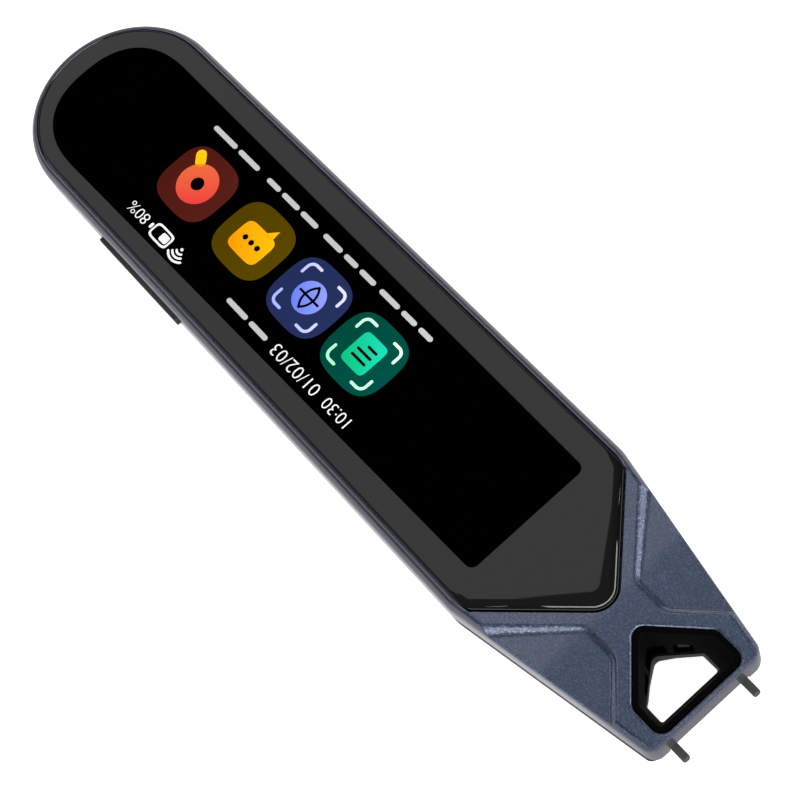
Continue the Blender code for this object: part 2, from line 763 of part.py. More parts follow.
def port_prism(name, grow, start, end, collection=None):
    """The charge port's outline drawn along X."""
    outline = port_outline(grow)
    bm = bmesh.new()
    loops = [[bm.verts.new((x, y, z)) for y, z in outline] for x in (start, end)]
    for i in range(len(outline)):
        j = (i + 1) % len(outline)
        bm.faces.new((loops[0][i], loops[0][j], loops[1][j], loops[1][i]))
    bm.faces.new(loops[0])
    bm.faces.new(loops[1])
    return mesh_object(name, bm, collection)


def port_cutter(name):
    return port_prism(name, GAP, TAIL_X - OVERRUN, TAIL_X + WALL + 2 * OVERRUN)


def microphone_holes():
    """One sound hole through the tail and one through the side wall by the nose."""
    tail_z = PORT_BOARD_LOW_Z - GAP - MICROPHONE_HEIGHT / 2
    nose_z = BOARD_TOP_Z + GAP + MICROPHONE_HEIGHT / 2
    nose_x = nose_microphone_x()
    return [
        rod(
            "tail_sound_hole",
            (TAIL_X - OVERRUN, -MICROPHONE_PLACE, tail_z),
            (PORT_BOARD_TAIL_X, -MICROPHONE_PLACE, tail_z),
            MICROPHONE_HOLE_RADIUS,
            sides=HOLE_SIDES,
        ),
        rod(
            "side_sound_hole",
            (nose_x, INNER_HALF_WIDTH - OVERRUN, nose_z),
            (nose_x, HALF_WIDTH + OVERRUN, nose_z),
            MICROPHONE_HOLE_RADIUS,
            sides=HOLE_SIDES,
        ),
    ]


def nose_microphone_x():
    return BOARD_NOSE_X - BOARD_NECK_LENGTH - POST_INSET - MICROPHONE_LENGTH


def rear_cover():
    """The dark shell under the pen, with its tower round the window, its bosses, posts and ribs."""
    heights = [BASE_EDGE_DEPTH * (1 - math.cos(math.pi / 2 * i / EDGE_STEPS)) for i in range(EDGE_STEPS + 1)]
    rings = [(body_ring(rear_inset(z), chin_inset(z)), z) for z in (*heights, REAR_TOP_Z)]
    cover = loft("rear_cover", rings, PARTS)
    heights = [WALL, (WALL + BASE_EDGE_DEPTH) / 2, BASE_EDGE_DEPTH, REAR_TOP_Z + OVERRUN]
    hollow_rings = [(body_ring(rear_inset(z) + WALL, chin_inset(z) + CHIN_WALL), z) for z in heights]
    hollow = loft("rear_hollow", hollow_rings)
    cut(hollow, undercut("floor_wedge", WALL))
    cut(cover, hollow)
    tower_low = THROAT_HEIGHT - OVERRUN
    join(cover, funnel("window_tower", tower_low, LINER_LOW - GAP, LINER_WALL))
    join(cover, *rear_supports())
    cut(cover, funnel("throat_hole", -OVERRUN, LINER_LOW + OVERRUN))
    cut(cover, slot_cutter("rear_slot"), port_cutter("rear_port"), *rear_screw_holes())
    cut(cover, *speaker_holes())
    cut(cover, undercut("undercut", 0.0))
    return paint(cover, CHARCOAL, 0.45)


def rear_supports():
    """Screw bosses, board posts, spring stops, rail ribs, the camera's cradle and the key's wall."""
    foot = WALL / 2
    supports = []
    for i, (x, y) in enumerate(screw_places()):
        radius = SCREW_HEAD_RADIUS + GAP + BOSS_WALL
        supports.append(rod(f"rear_boss_{i}", (x, y, foot), (x, y, REAR_TOP_Z), radius))
    for i, (x, y) in enumerate(board_post_places()):
        supports.append(rod(f"board_post_{i}", (x, y, foot), (x, y, BOARD_LOW_Z - GAP), POST_RADIUS))
    stop_nose_x = spring_tail_x() - GAP
    holder_tail_x = camera_x() - HOLDER_LENGTH
    for side in (-1, 1):
        spring_y = side * SPRING_SPACING / 2
        rail_y = side * RAIL_SPACING / 2
        cradle_y = side * (HOLDER_WIDTH / 2 - RIB_THICKNESS)
        supports.append(
            box(
                f"spring_stop_{side}",
                (stop_nose_x - RIB_THICKNESS, stop_nose_x),
                (spring_y - SPRING_STOP_WIDTH / 2, spring_y + SPRING_STOP_WIDTH / 2),
                (foot, FORK_MIDDLE_Z + SPRING_RADIUS + GAP),
            )
        )
        for place, x in (("tail", CROSSBAR_X + 2 * FORK_WIDTH), ("nose", WINDOW_APEX_X)):
            supports.append(
                box(
                    f"rail_rib_{place}_{side}",
                    (x, x + RIB_THICKNESS),
                    (rail_y - FORK_WIDTH / 2, rail_y + FORK_WIDTH / 2),
                    (floor_z(x), FORK_LOW - GAP),
                )
            )
        supports.append(
            box(
                f"camera_cradle_{side}",
                (holder_tail_x + RIB_THICKNESS, holder_tail_x + HOLDER_LENGTH - RIB_THICKNESS),
                (cradle_y - RIB_THICKNESS / 2, cradle_y + RIB_THICKNESS / 2),
                (floor_z(holder_tail_x), PORT_MIDDLE_Z - HOLDER_HEIGHT / 2 - GAP),
            )
        )
    rib_y = key_switch_back_y() + FLEX_THICKNESS + 2 * GAP
    supports.append(
        box(
            "key_wall",
            (KEY_X - KEY_RIB_LENGTH / 2, KEY_X + KEY_RIB_LENGTH / 2),
            (rib_y, rib_y + KEY_RIB_THICKNESS),
            (foot, KEY_MIDDLE + KEY_SWITCH_HEIGHT / 2 - GAP),
        )
    )
    return supports


def floor_z(x):
    """A height inside the rear cover's floor, part way through its thickness."""
    start = NOSE_X - UNDERCUT_LENGTH
    return WALL / 2 + max(0.0, x - start) * UNDERCUT_HEIGHT / UNDERCUT_LENGTH


def rear_screw_holes():
    holes = []
    seat = SCREW_HEAD_SETBACK + SCREW_HEAD_HEIGHT + GAP
    for i, (x, y) in enumerate(screw_places()):
        holes.append(rod(f"counterbore_{i}", (x, y, -OVERRUN), (x, y, seat), SCREW_HEAD_RADIUS + GAP))
        top = (x, y, REAR_TOP_Z + OVERRUN)
        holes.append(rod(f"shank_hole_{i}", (x, y, seat - OVERRUN), top, SCREW_SHANK_RADIUS + GAP))
    return holes


def speaker_holes():
    middle_x = (SPEAKER_TAIL_X + SPEAKER_NOSE_X) / 2
    holes = []
    for column in range(SPEAKER_HOLE_COLUMNS):
        for row in range(SPEAKER_HOLE_ROWS):
            x = middle_x + (column - (SPEAKER_HOLE_COLUMNS - 1) / 2) * SPEAKER_HOLE_SPACING
            y = (row - (SPEAKER_HOLE_ROWS - 1) / 2) * SPEAKER_HOLE_SPACING
            start, end = (x, y, -OVERRUN), (x, y, WALL + OVERRUN)
            holes.append(rod(f"sound_{column}_{row}", start, end, SPEAKER_HOLE_RADIUS, sides=HOLE_SIDES))
    return holes


def window_liner():
    """The black funnel that lines the window, with its scan slot and the ports of camera and lights."""
    top = BODY_HEIGHT - GAP / 2
    liner = funnel("window_liner", LINER_LOW, top, LINER_WALL, PARTS)
    cut(liner, funnel("liner_bore", LINER_LOW - OVERRUN, top + OVERRUN))
    slot = box(
        "liner_slot",
        (THROAT_FRONT_X - LINER_WALL, NOSE_X),
        (-LINER_SLOT_WIDTH / 2, LINER_SLOT_WIDTH / 2),
        (PORT_LOW, PORT_HIGH),
    )
    apex = funnel_apex_x(PORT_MIDDLE_Z)
    port = box(
        "camera_port",
        (apex - 3 * LINER_WALL, apex + CAMERA_PORT_WIDTH / 2),
        (-CAMERA_PORT_WIDTH / 2, CAMERA_PORT_WIDTH / 2),
        (PORT_LOW, PORT_HIGH),
    )
    cut(liner, slot, port)
    for side in (-1, 1):
        cut(liner, light_block(f"light_port_{side}", side, EMITTER_LENGTH + 4 * GAP, PORT_LOW, PORT_HIGH))
    return paint(liner, BLACK, 0.4)


def funnel_apex_x(z):
    return min(x for x, y in funnel_ring(z))


def slant_frame(side):
    """The middle of a scan light on the lining's slanted wall, the way along the wall and the way out of it."""
    share = (PORT_MIDDLE_Z - THROAT_HEIGHT) / (BODY_HEIGHT - THROAT_HEIGHT)
    inset = GAP + LINER_WALL
    run = WINDOW_LENGTH - WINDOW_SIDE_LENGTH
    wide = math.hypot(run, WINDOW_WIDTH / 2) / (WINDOW_WIDTH / 2)
    mouth_apex = WINDOW_APEX_X + inset * wide
    mouth_cut_y = WINDOW_WIDTH / 2 - inset
    mouth_cut_x = mouth_apex + mouth_cut_y * run / (WINDOW_WIDTH / 2)
    throat_cut_x = THROAT_FRONT_X - THROAT_SIDE_LENGTH
    apex = THROAT_APEX_X + (mouth_apex - THROAT_APEX_X) * share
    cut_x = throat_cut_x + (mouth_cut_x - throat_cut_x) * share
    cut_y = THROAT_WIDTH / 2 + (mouth_cut_y - THROAT_WIDTH / 2) * share
    along = Vector((cut_x - apex, side * cut_y, 0))
    middle = Vector((apex, 0, 0)) + along * LIGHT_PLACE_SHARE
    along.normalize()
    out = Vector((-abs(along.y), side * along.x, 0))
    return middle, along, out


def light_block(name, side, length, low, high, inner=-OVERRUN, outer=None, collection=None):
    """A block along the slanted wall, from one distance outside the wall's inner face to another."""
    outer = LINER_WALL + LIGHT_THICKNESS if outer is None else outer
    middle, along, out = slant_frame(side)
    bm = bmesh.new()
    bmesh.ops.create_cube(bm, size=1.0)
    bmesh.ops.scale(bm, vec=(length, outer - inner, high - low), verts=bm.verts)
    place = middle + out * (inner + outer) / 2
    turn = Matrix((along, out, Vector((0, 0, 1)))).transposed().to_4x4()
    shift = Matrix.Translation((place.x, place.y, (low + high) / 2))
    bmesh.ops.transform(bm, matrix=shift @ turn, verts=bm.verts)
    return mesh_object(name, bm, collection)


def scan_lights():
    """A small board with one emitter behind each slanted wall of the lining."""
    inner = LINER_WALL + 1.5 * GAP
    low, high = PORT_LOW + GAP, PORT_HIGH - GAP
    for side, name in ((1, "scan_light_left"), (-1, "scan_light_right")):
        light = light_block(name, side, LIGHT_LENGTH, low, high, inner, inner + LIGHT_THICKNESS, PARTS)
        emitter_low = PORT_MIDDLE_Z - EMITTER_HEIGHT / 2
        emitter = light_block(
            f"emitter_{side}",
            side,
            EMITTER_LENGTH,
            emitter_low,
            emitter_low + EMITTER_HEIGHT,
            inner - EMITTER_REACH,
            inner + LIGHT_THICKNESS / 2,
        )
        join(light, emitter)
        paint(light, WHITE, 0.4)


def camera_x():
    """The nose side of the camera's holder, read back from the lens cover behind the lining's point."""
    return lens_cover_x() - LENS_COVER_THICKNESS - GAP - LENS_REACH


def lens_cover_x():
    outer_apex = min(x for x, y in funnel_ring(PORT_HIGH + LENS_COVER_LAP, LINER_WALL))
    return outer_apex - GAP


def camera():
    """The reading camera: its holder, its lens barrel, its board, its flex and the clear cover before it."""
    nose_x = lens_cover_x()
    cover = box(
        "lens_cover",
        (nose_x - LENS_COVER_THICKNESS, nose_x),
        (-LENS_COVER_WIDTH / 2, LENS_COVER_WIDTH / 2),
        (PORT_LOW - LENS_COVER_LAP / 2, PORT_HIGH + LENS_COVER_LAP),
        PARTS,
    )
    paint(cover, WHITE, 0.02, alpha=0.35)
    front = camera_x()
    tail = front - HOLDER_LENGTH
    low, high = PORT_MIDDLE_Z - HOLDER_HEIGHT / 2, PORT_MIDDLE_Z + HOLDER_HEIGHT / 2
    holder = box("camera_holder", (tail, front), (-HOLDER_WIDTH / 2, HOLDER_WIDTH / 2), (low, high), PARTS)
    bore_tail = front + LENS_REACH - LENS_LENGTH - GAP
    bore = rod(
        "lens_bore",
        (bore_tail, 0, PORT_MIDDLE_Z),
        (front + OVERRUN, 0, PORT_MIDDLE_Z),
        LENS_RADIUS - LENS_POCKET / 4 + GAP,
    )
    cut(holder, bore)
    paint(holder, BLACK, 0.5)
    lens_top = LENS_LENGTH
    barrel = LENS_RADIUS - LENS_POCKET / 4
    profile = [
        (0, lens_top - LENS_POCKET / 2),
        (LENS_POCKET, lens_top - LENS_POCKET / 2),
        (LENS_POCKET, lens_top),
        (barrel, lens_top),
        (barrel, 0),
        (0, 0),
    ]
    lens = turned("camera_lens", profile, PARTS)
    lens.rotation_euler = (0, math.pi / 2, 0)
    lens.location = (front + LENS_REACH - LENS_LENGTH, 0, PORT_MIDDLE_Z)
    paint(lens, BLACK, 0.2)
    board_nose_x = tail - GAP
    board_tail_x = board_nose_x - CAMERA_BOARD_THICKNESS
    board = box(
        "camera_board",
        (board_tail_x, board_nose_x),
        (-HOLDER_WIDTH / 2, HOLDER_WIDTH / 2),
        (low, high),
        PARTS,
    )
    paint(board, GREEN, 0.4)
    flex_x = board_tail_x - GAP
    flex_low = BOARD_TOP_Z + GAP
    flex = ribbon_outline(
        [
            (flex_x - FLEX_THICKNESS / 2, low + HOLDER_HEIGHT / 3),
            (flex_x - FLEX_THICKNESS / 2, flex_low + FLEX_THICKNESS / 2),
            (BOARD_NOSE_X - 2 * FLEX_THICKNESS - HOLDER_LENGTH, flex_low + FLEX_THICKNESS / 2),
        ],
        FLEX_THICKNESS / 2,
    )
    ribbon = plate("camera_flex", flex, -CAMERA_FLEX_WIDTH / 2, CAMERA_FLEX_WIDTH / 2, PARTS, upright=True)
    paint(ribbon, AMBER, 0.4)


def ribbon_outline(points, half):
    """The outline of a band of even width along a bent line."""
    places = [Vector(point) for point in points]
    left, right = [], []
    for i, place in enumerate(places):
        before = (place - places[i - 1]).normalized() if i else None
        after = (places[i + 1] - place).normalized() if i + 1 < len(places) else None
        along = ((before or after) + (after or before)).normalized()
        lean = along.dot(after or before)
        side = Vector((-along.y, along.x)) * half / lean
        left.append(place + side)
        right.append(place - side)
    return [tuple(point) for point in right + left[::-1]]


def screen():
    """The glass, its tape, the display under it and the tray behind the display."""
    bevel = GLASS_BEVEL
    rings = [
        (glass_ring(0.0), GLASS_LOW_Z),
        (glass_ring(0.0), GLASS_TOP_Z - bevel),
        (glass_ring(bevel / 3), GLASS_TOP_Z - bevel / 3),
        (glass_ring(bevel), GLASS_TOP_Z),
    ]
    paint(loft("screen_glass", rings, PARTS), BLACK, 0.03)
    tape_low = DECK_TOP_Z + GAP
    tape_top = tape_low + TAPE_THICKNESS
    tape = loft("screen_tape", [(glass_ring(TAPE_INSET), z) for z in (tape_low, tape_top)], PARTS)
    inner = [(glass_ring(TAPE_INSET + TAPE_WIDTH), z) for z in (tape_low - OVERRUN, tape_top + OVERRUN)]
    cut(tape, loft("tape_inside", inner))
    paint(tape, BLACK, 0.7)
    x = (DISPLAY_TAIL_X, DISPLAY_NOSE_X)
    y = (-DISPLAY_HALF_WIDTH, DISPLAY_HALF_WIDTH)
    display = box("display_panel", x, y, (DISPLAY_LOW_Z, DISPLAY_LOW_Z + DISPLAY_THICKNESS), PARTS)
    paint(display, BLACK, 0.1)
    tray = box("display_tray", x, y, (TRAY_LOW_Z, TRAY_LOW_Z + TRAY_THICKNESS), PARTS)
    paint(tray, STEEL, 0.35, 1.0)
    edge = DISPLAY_NOSE_X + GAP
    reach = BOARD_TOP_Z + GAP + FLEX_THICKNESS / 2
    flex = ribbon_outline(
        [
            (edge + FLEX_THICKNESS / 2, DISPLAY_LOW_Z + DISPLAY_THICKNESS - GAP),
            (edge + FLEX_THICKNESS / 2, reach),
            (edge - CAMERA_FLEX_WIDTH, reach),
        ],
        FLEX_THICKNESS / 2,
    )
    place = -BOARD_NECK_Y
    ribbon = plate("display_flex", flex, place, place + CAMERA_FLEX_WIDTH, PARTS, upright=True)
    paint(ribbon, AMBER, 0.4)


def main_board():
    """The main board, narrow at its nose end, with its chips, its shield and its radio."""
    wide_nose_x = BOARD_NOSE_X - BOARD_NECK_LENGTH
    wide, neck = INNER_HALF_WIDTH - BOARD_SIDE_CLEARANCE, BOARD_NECK_Y
    outline = [
        (BOARD_TAIL_X, -wide),
        (wide_nose_x, -wide),
        (wide_nose_x, -neck),
        (BOARD_NOSE_X, -neck),
        (BOARD_NOSE_X, neck),
        (wide_nose_x, neck),
        (wide_nose_x, wide),
        (BOARD_TAIL_X, wide),
    ]
    paint(plate("main_board", outline, BOARD_LOW_Z, BOARD_TOP_Z, PARTS), GREEN, 0.4)
    can_x = BOARD_TAIL_X + CAN_FROM_BOARD_TAIL
    can_top = BOARD_LOW_Z - GAP
    half = CAN_WIDTH / 2
    can = box("shield_can", (can_x, can_x + CAN_LENGTH), (-half, half), (can_top - CAN_HEIGHT, can_top), PARTS)
    inside = box(
        "can_inside",
        (can_x + CAN_WALL, can_x + CAN_LENGTH - CAN_WALL),
        (-half + CAN_WALL, half - CAN_WALL),
        (can_top - CAN_HEIGHT + CAN_WALL, can_top + OVERRUN),
    )
    cut(can, inside)
    paint(can, SILVER, 0.3, 1.0)
    chip_x = can_x + CAN_WALL + CHIP_SPACING
    side = PROCESSOR_SIDE / 2
    z = (can_top - CHIP_HEIGHT, can_top)
    processor = box("processor_chip", (chip_x, chip_x + PROCESSOR_SIDE), (-side, side), z, PARTS)
    paint(processor, BLACK, 0.5)
    chip_x += PROCESSOR_SIDE + CHIP_SPACING
    side = MEMORY_WIDTH / 2
    memory = box("memory_chip", (chip_x, chip_x + MEMORY_LENGTH), (-side, side), z, PARTS)
    paint(memory, BLACK, 0.5)
    low = BOARD_TOP_Z + GAP
    z = (low, low + CHIP_HEIGHT)
    side = RADIO_WIDTH / 2
    radio = box("radio_module", (can_x, can_x + RADIO_LENGTH), (-side, side), z, PARTS)
    paint(radio, SILVER, 0.3, 1.0)
    chip_x = can_x + RADIO_LENGTH + CHIP_SPACING
    side = POWER_CHIP_SIDE / 2
    power = box("power_chip", (chip_x, chip_x + POWER_CHIP_SIDE), (-side, side), z, PARTS)
    paint(power, BLACK, 0.5)
    x = nose_microphone_x()
    edge = wide - GAP
    microphone = box(
        "nose_microphone",
        (x - MICROPHONE_LENGTH / 2, x + MICROPHONE_LENGTH / 2),
        (edge - MICROPHONE_WIDTH, edge),
        (low, low + MICROPHONE_HEIGHT),
        PARTS,
    )
    paint(microphone, SILVER, 0.3, 1.0)


def battery():
    """The flat cell on its pad, its plug on the main board and the two leads between them."""
    half = INNER_HALF_WIDTH - BATTERY_SIDE_CLEARANCE
    corners = [
        (BATTERY_TAIL_X, -half, BATTERY_RADIUS),
        (BATTERY_NOSE_X, -half, BATTERY_RADIUS),
        (BATTERY_NOSE_X, half, BATTERY_RADIUS),
        (BATTERY_TAIL_X, half, BATTERY_RADIUS),
    ]
    cell = plate("battery_cell", rounded(corners), BATTERY_LOW_Z, BATTERY_TOP_Z, PARTS)
    paint(cell, SILVER, 0.35, 0.6)
    pad_low = WALL + GAP
    pad = plate("battery_pad", rounded(corners, PAD_INSET), pad_low, pad_low + PAD_THICKNESS, PARTS)
    paint(pad, WHITE, 0.8)
    plug_x = BOARD_TAIL_X + PLUG_INSET
    plug_y = INNER_HALF_WIDTH - BOARD_SIDE_CLEARANCE - PLUG_FROM_EDGE
    low = BOARD_TOP_Z + GAP
    plug = box(
        "battery_plug",
        (plug_x, plug_x + PLUG_LENGTH),
        (plug_y - PLUG_WIDTH / 2, plug_y + PLUG_WIDTH / 2),
        (low, low + CHIP_HEIGHT),
        PARTS,
    )
    paint(plug, WHITE, 0.5)
    start = BATTERY_NOSE_X + GAP
    bend = BOARD_TAIL_X - GAP - 2 * LEAD_RADIUS
    middle = (BATTERY_LOW_Z + BATTERY_TOP_Z) / 2
    high = low + CHIP_HEIGHT / 2
    for side, name, colour in ((-1, "battery_lead_minus", BLACK), (1, "battery_lead_plus", RED)):
        y = plug_y + side * LEAD_SPACING / 2
        points = [(start, y, middle), (bend, y, middle), (bend, y, high), (plug_x - GAP, y, high)]
        paint(wire(name, points, LEAD_RADIUS, PARTS), colour, 0.5)


def tail_parts():
    """The charge port with its tongue, the tail board and its microphone, and the ribbon to the main board."""
    shell = port_prism("charge_port_shell", 0.0, PORT_MOUTH_X, PORT_BACK_X, PARTS)
    inside = port_prism("port_inside", -PORT_SHELL_WALL, PORT_MOUTH_X - OVERRUN, PORT_BACK_X + OVERRUN)
    cut(shell, inside)
    paint(shell, STEEL, 0.25, 1.0)
    block_x = PORT_BACK_X - PORT_BACK_LENGTH
    block = port_prism("charge_port_tongue", -PORT_SHELL_WALL - GAP, block_x, PORT_BACK_X, PARTS)
    middle = PORT_LOW_Z + PORT_HEIGHT / 2
    tongue = box(
        "tongue_blade",
        (PORT_MOUTH_X + TONGUE_SETBACK, block_x + PORT_BACK_LENGTH / 2),
        (-TONGUE_WIDTH / 2, TONGUE_WIDTH / 2),
        (middle - TONGUE_THICKNESS / 2, middle + TONGUE_THICKNESS / 2),
    )
    paint(join(block, tongue), BLACK, 0.5)
    board = box(
        "port_board",
        (PORT_BOARD_TAIL_X, PORT_BOARD_NOSE_X),
        (-PORT_BOARD_WIDTH / 2, PORT_BOARD_WIDTH / 2),
        (PORT_BOARD_LOW_Z, PORT_BOARD_LOW_Z + PORT_BOARD_THICKNESS),
        PARTS,
    )
    paint(board, GREEN, 0.4)
    top = PORT_BOARD_LOW_Z - GAP
    start = PORT_BOARD_TAIL_X + GAP
    microphone = box(
        "tail_microphone",
        (start, start + MICROPHONE_LENGTH),
        (-MICROPHONE_PLACE - MICROPHONE_WIDTH / 2, -MICROPHONE_PLACE + MICROPHONE_WIDTH / 2),
        (top - MICROPHONE_HEIGHT, top),
        PARTS,
    )
    paint(microphone, SILVER, 0.3, 1.0)
    half = FLEX_THICKNESS / 2
    path = [
        (PORT_BACK_X + GAP, top - half),
        (PORT_BOARD_NOSE_X, top - half),
        (BATTERY_TAIL_X, RIBBON_LOW_Z + half),
        (BATTERY_NOSE_X, RIBBON_LOW_Z + half),
        (BOARD_TAIL_X, BOARD_TOP_Z + GAP + half),
        (BOARD_TAIL_X + CAN_FROM_BOARD_TAIL / 2, BOARD_TOP_Z + GAP + half),
    ]
    outline = ribbon_outline(path, half)
    ribbon = plate("board_ribbon", outline, -RIBBON_WIDTH / 2, RIBBON_WIDTH / 2, PARTS, upright=True)
    paint(ribbon, AMBER, 0.4)


def speaker():
    """The speaker on its gasket, over the dust mesh behind the sound holes."""
    half = SPEAKER_WIDTH / 2
    corners = [
        (SPEAKER_TAIL_X, -half, SPEAKER_RADIUS),
        (SPEAKER_NOSE_X, -half, SPEAKER_RADIUS),
        (SPEAKER_NOSE_X, half, SPEAKER_RADIUS),
        (SPEAKER_TAIL_X, half, SPEAKER_RADIUS),
    ]
    low = WALL + GAP
    mesh = plate("speaker_mesh", rounded(corners, GASKET_WIDTH / 2), low, low + MESH_THICKNESS, PARTS)
    paint(mesh, BLACK, 0.7)
    low += MESH_THICKNESS + GAP
    gasket = plate("speaker_gasket", rounded(corners), low, low + GASKET_THICKNESS, PARTS)
    hole = plate("gasket_hole", rounded(corners, GASKET_WIDTH), low - OVERRUN, low + OVERRUN)
    cut(gasket, hole)
    paint(gasket, CHARCOAL, 0.9)
    low += GASKET_THICKNESS + GAP
    paint(plate("speaker", rounded(corners), low, low + SPEAKER_HEIGHT, PARTS), BLACK, 0.4)


def spring_tail_x():
    return CROSSBAR_X - FORK_WIDTH / 2 - GAP - SPRING_LENGTH


def switch(name, stem_name, face, toward, width, height, middle, depth, proud, length):
    """A push switch with a round stem. It faces `toward` from `face`, and the stem stands proud of that face."""
    toward = Vector(toward)
    across = Vector((abs(toward.y), abs(toward.x), 0))
    ends = Vector(face)
    back = ends - toward * depth
    low = Vector([min(a, b) for a, b in zip(ends, back)]) - across * width / 2
    high = Vector([max(a, b) for a, b in zip(ends, back)]) + across * width / 2
    z = (middle - height / 2, middle + height / 2)
    body = box(name, (low.x, high.x), (low.y, high.y), z, PARTS)
    axis = Vector((ends.x, ends.y, middle))
    bore_depth = depth - FLEX_THICKNESS
    bore = rod(
        f"{name}_bore",
        axis - toward * bore_depth,
        axis + toward * OVERRUN,
        STEM_RADIUS + STEM_BORE_GAP,
    )
    paint(cut(body, bore), SILVER, 0.3, 1.0)
    tip = axis + toward * proud
    stem = rod(stem_name, tip - toward * length, tip, STEM_RADIUS, PARTS)
    slide_to(stem, axis)
    paint(stem, BLACK, 0.4)


def trigger():
    """The fork whose two feet press on the page, its two springs and the switch behind its crossbar."""
    foot_y, rail_y = FOOT_SPACING / 2, RAIL_SPACING / 2
    tip_x = NOSE_X + FOOT_REACH
    jog_x = NOSE_X - JOG_START
    half_line = [
        (tip_x, foot_y),
        (jog_x + JOG_LENGTH, foot_y),
        (jog_x, rail_y),
        (CROSSBAR_X, rail_y),
    ]
    line = half_line + [(x, -y) for x, y in reversed(half_line)]
    outline = ribbon_outline(line, FORK_WIDTH / 2)
    fork = plate("trigger_fork", outline, FORK_LOW, FORK_LOW + FORK_HEIGHT, PARTS)
    paint(fork, CHARCOAL, 0.45)
    start = spring_tail_x()
    for side, name in ((1, "trigger_spring_left"), (-1, "trigger_spring_right")):
        points = []
        for i in range(SPRING_TURNS * SPRING_TURN_POINTS + 1):
            angle = 2 * math.pi * i / SPRING_TURN_POINTS
            reach = i / (SPRING_TURNS * SPRING_TURN_POINTS)
            x = start + SPRING_WIRE + (SPRING_LENGTH - 2 * SPRING_WIRE) * reach
            y = side * SPRING_SPACING / 2 + (SPRING_RADIUS - SPRING_WIRE) * math.cos(angle)
            z = FORK_MIDDLE_Z + (SPRING_RADIUS - SPRING_WIRE) * math.sin(angle)
            points.append((x, y, z))
        paint(wire(name, points, SPRING_WIRE, PARTS), STEEL, 0.25, 1.0)
    face_x = CROSSBAR_X - FORK_WIDTH / 2 - GAP - STEM_PROUD
    height = 2 * (BOARD_LOW_Z - GAP - FORK_MIDDLE_Z)
    switch(
        "trigger_switch",
        "trigger_switch_stem",
        (face_x, 0, 0),
        (1, 0, 0),
        SWITCH_WIDTH,
        height,
        FORK_MIDDLE_Z,
        SWITCH_LENGTH,
        STEM_PROUD,
        STEM_LENGTH,
    )


def key_switch_back_y():
    """The inner side of the key's switch."""
    flange_inner = -INNER_HALF_WIDTH + GAP + KEY_FLANGE
    return flange_inner + GAP + KEY_STEM_PROUD + KEY_SWITCH_DEPTH


def side_key():
    """The long key in the side wall, its switch and the flex that the switch stands on."""
    outer_y = -HALF_WIDTH - KEY_PROUD
    flange_outer_y = -INNER_HALF_WIDTH + GAP
    flange_inner_y = flange_outer_y + KEY_FLANGE
    outline = stadium(KEY_X, KEY_MIDDLE, KEY_LENGTH, KEY_HEIGHT)
    lap = 2 * KEY_FLANGE_LAP
    flange_outline = stadium(KEY_X, KEY_MIDDLE, KEY_LENGTH + lap, KEY_HEIGHT + lap)
    key = plate("side_key", outline, outer_y, flange_outer_y + KEY_FLANGE / 2, PARTS, upright=True)
    join(key, plate("key_flange", flange_outline, flange_outer_y, flange_inner_y, upright=True))
    paint(key, CHARCOAL, 0.4)
    switch(
        "side_switch",
        "side_switch_stem",
        (KEY_X, flange_inner_y + GAP + KEY_STEM_PROUD, 0),
        (0, -1, 0),
        KEY_SWITCH_LENGTH,
        KEY_SWITCH_HEIGHT,
        KEY_MIDDLE,
        KEY_SWITCH_DEPTH,
        KEY_STEM_PROUD,
        KEY_STEM_LENGTH,
    )
    back_y = key_switch_back_y() + GAP
    flex = box(
        "side_key_flex",
        (KEY_X - KEY_SWITCH_LENGTH / 2, BOARD_TAIL_X - GAP),
        (back_y, back_y + FLEX_THICKNESS),
        (KEY_MIDDLE - KEY_SWITCH_HEIGHT / 2, KEY_MIDDLE + KEY_SWITCH_HEIGHT / 2 - GAP),
        PARTS,
    )
    paint(flex, AMBER, 0.4)


def antenna():
    """The thin antenna on the inside of the left wall."""
    outer_y = INNER_HALF_WIDTH - GAP
    start = TAIL_X + ANTENNA_FROM_TAIL
    low = UPPER_LOW_Z + 2 * GAP
    strip = box(
        "antenna",
        (start, start + ANTENNA_LENGTH),
        (outer_y - FLEX_THICKNESS, outer_y),
        (low, low + ANTENNA_HEIGHT),
        PARTS,
    )
    paint(strip, AMBER, 0.35)


def case_screws():
    """Four self-tapping screws that hold the rear cover to the upper case."""
    low = SCREW_HEAD_SETBACK
    seat = low + SCREW_HEAD_HEIGHT
    profile = [
        (0, low + SCREW_LENGTH),
        (SCREW_SHANK_RADIUS, low + SCREW_LENGTH - SCREW_SHANK_RADIUS),
        (SCREW_SHANK_RADIUS, seat),
        (SCREW_HEAD_RADIUS, seat),
        (SCREW_HEAD_RADIUS, low),
        (SCREW_RECESS_RADIUS, low),
        (SCREW_RECESS_RADIUS, low + SCREW_RECESS_DEPTH),
        (0, low + SCREW_RECESS_DEPTH),
    ]
    for i, (x, y) in enumerate(screw_places()):
        screw = turned(f"case_screw_{i + 1}", profile, PARTS)
        screw.location = (x, y, 0)
        paint(screw, STEEL, 0.3, 1.0)


upper_case()
rear_cover()
window_liner()
screen()
camera()
scan_lights()
trigger()
side_key()
main_board()
battery()
tail_parts()
speaker()
antenna()
case_screws()
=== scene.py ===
import math

import bmesh
import bpy
import numpy as np
from mathutils import Matrix


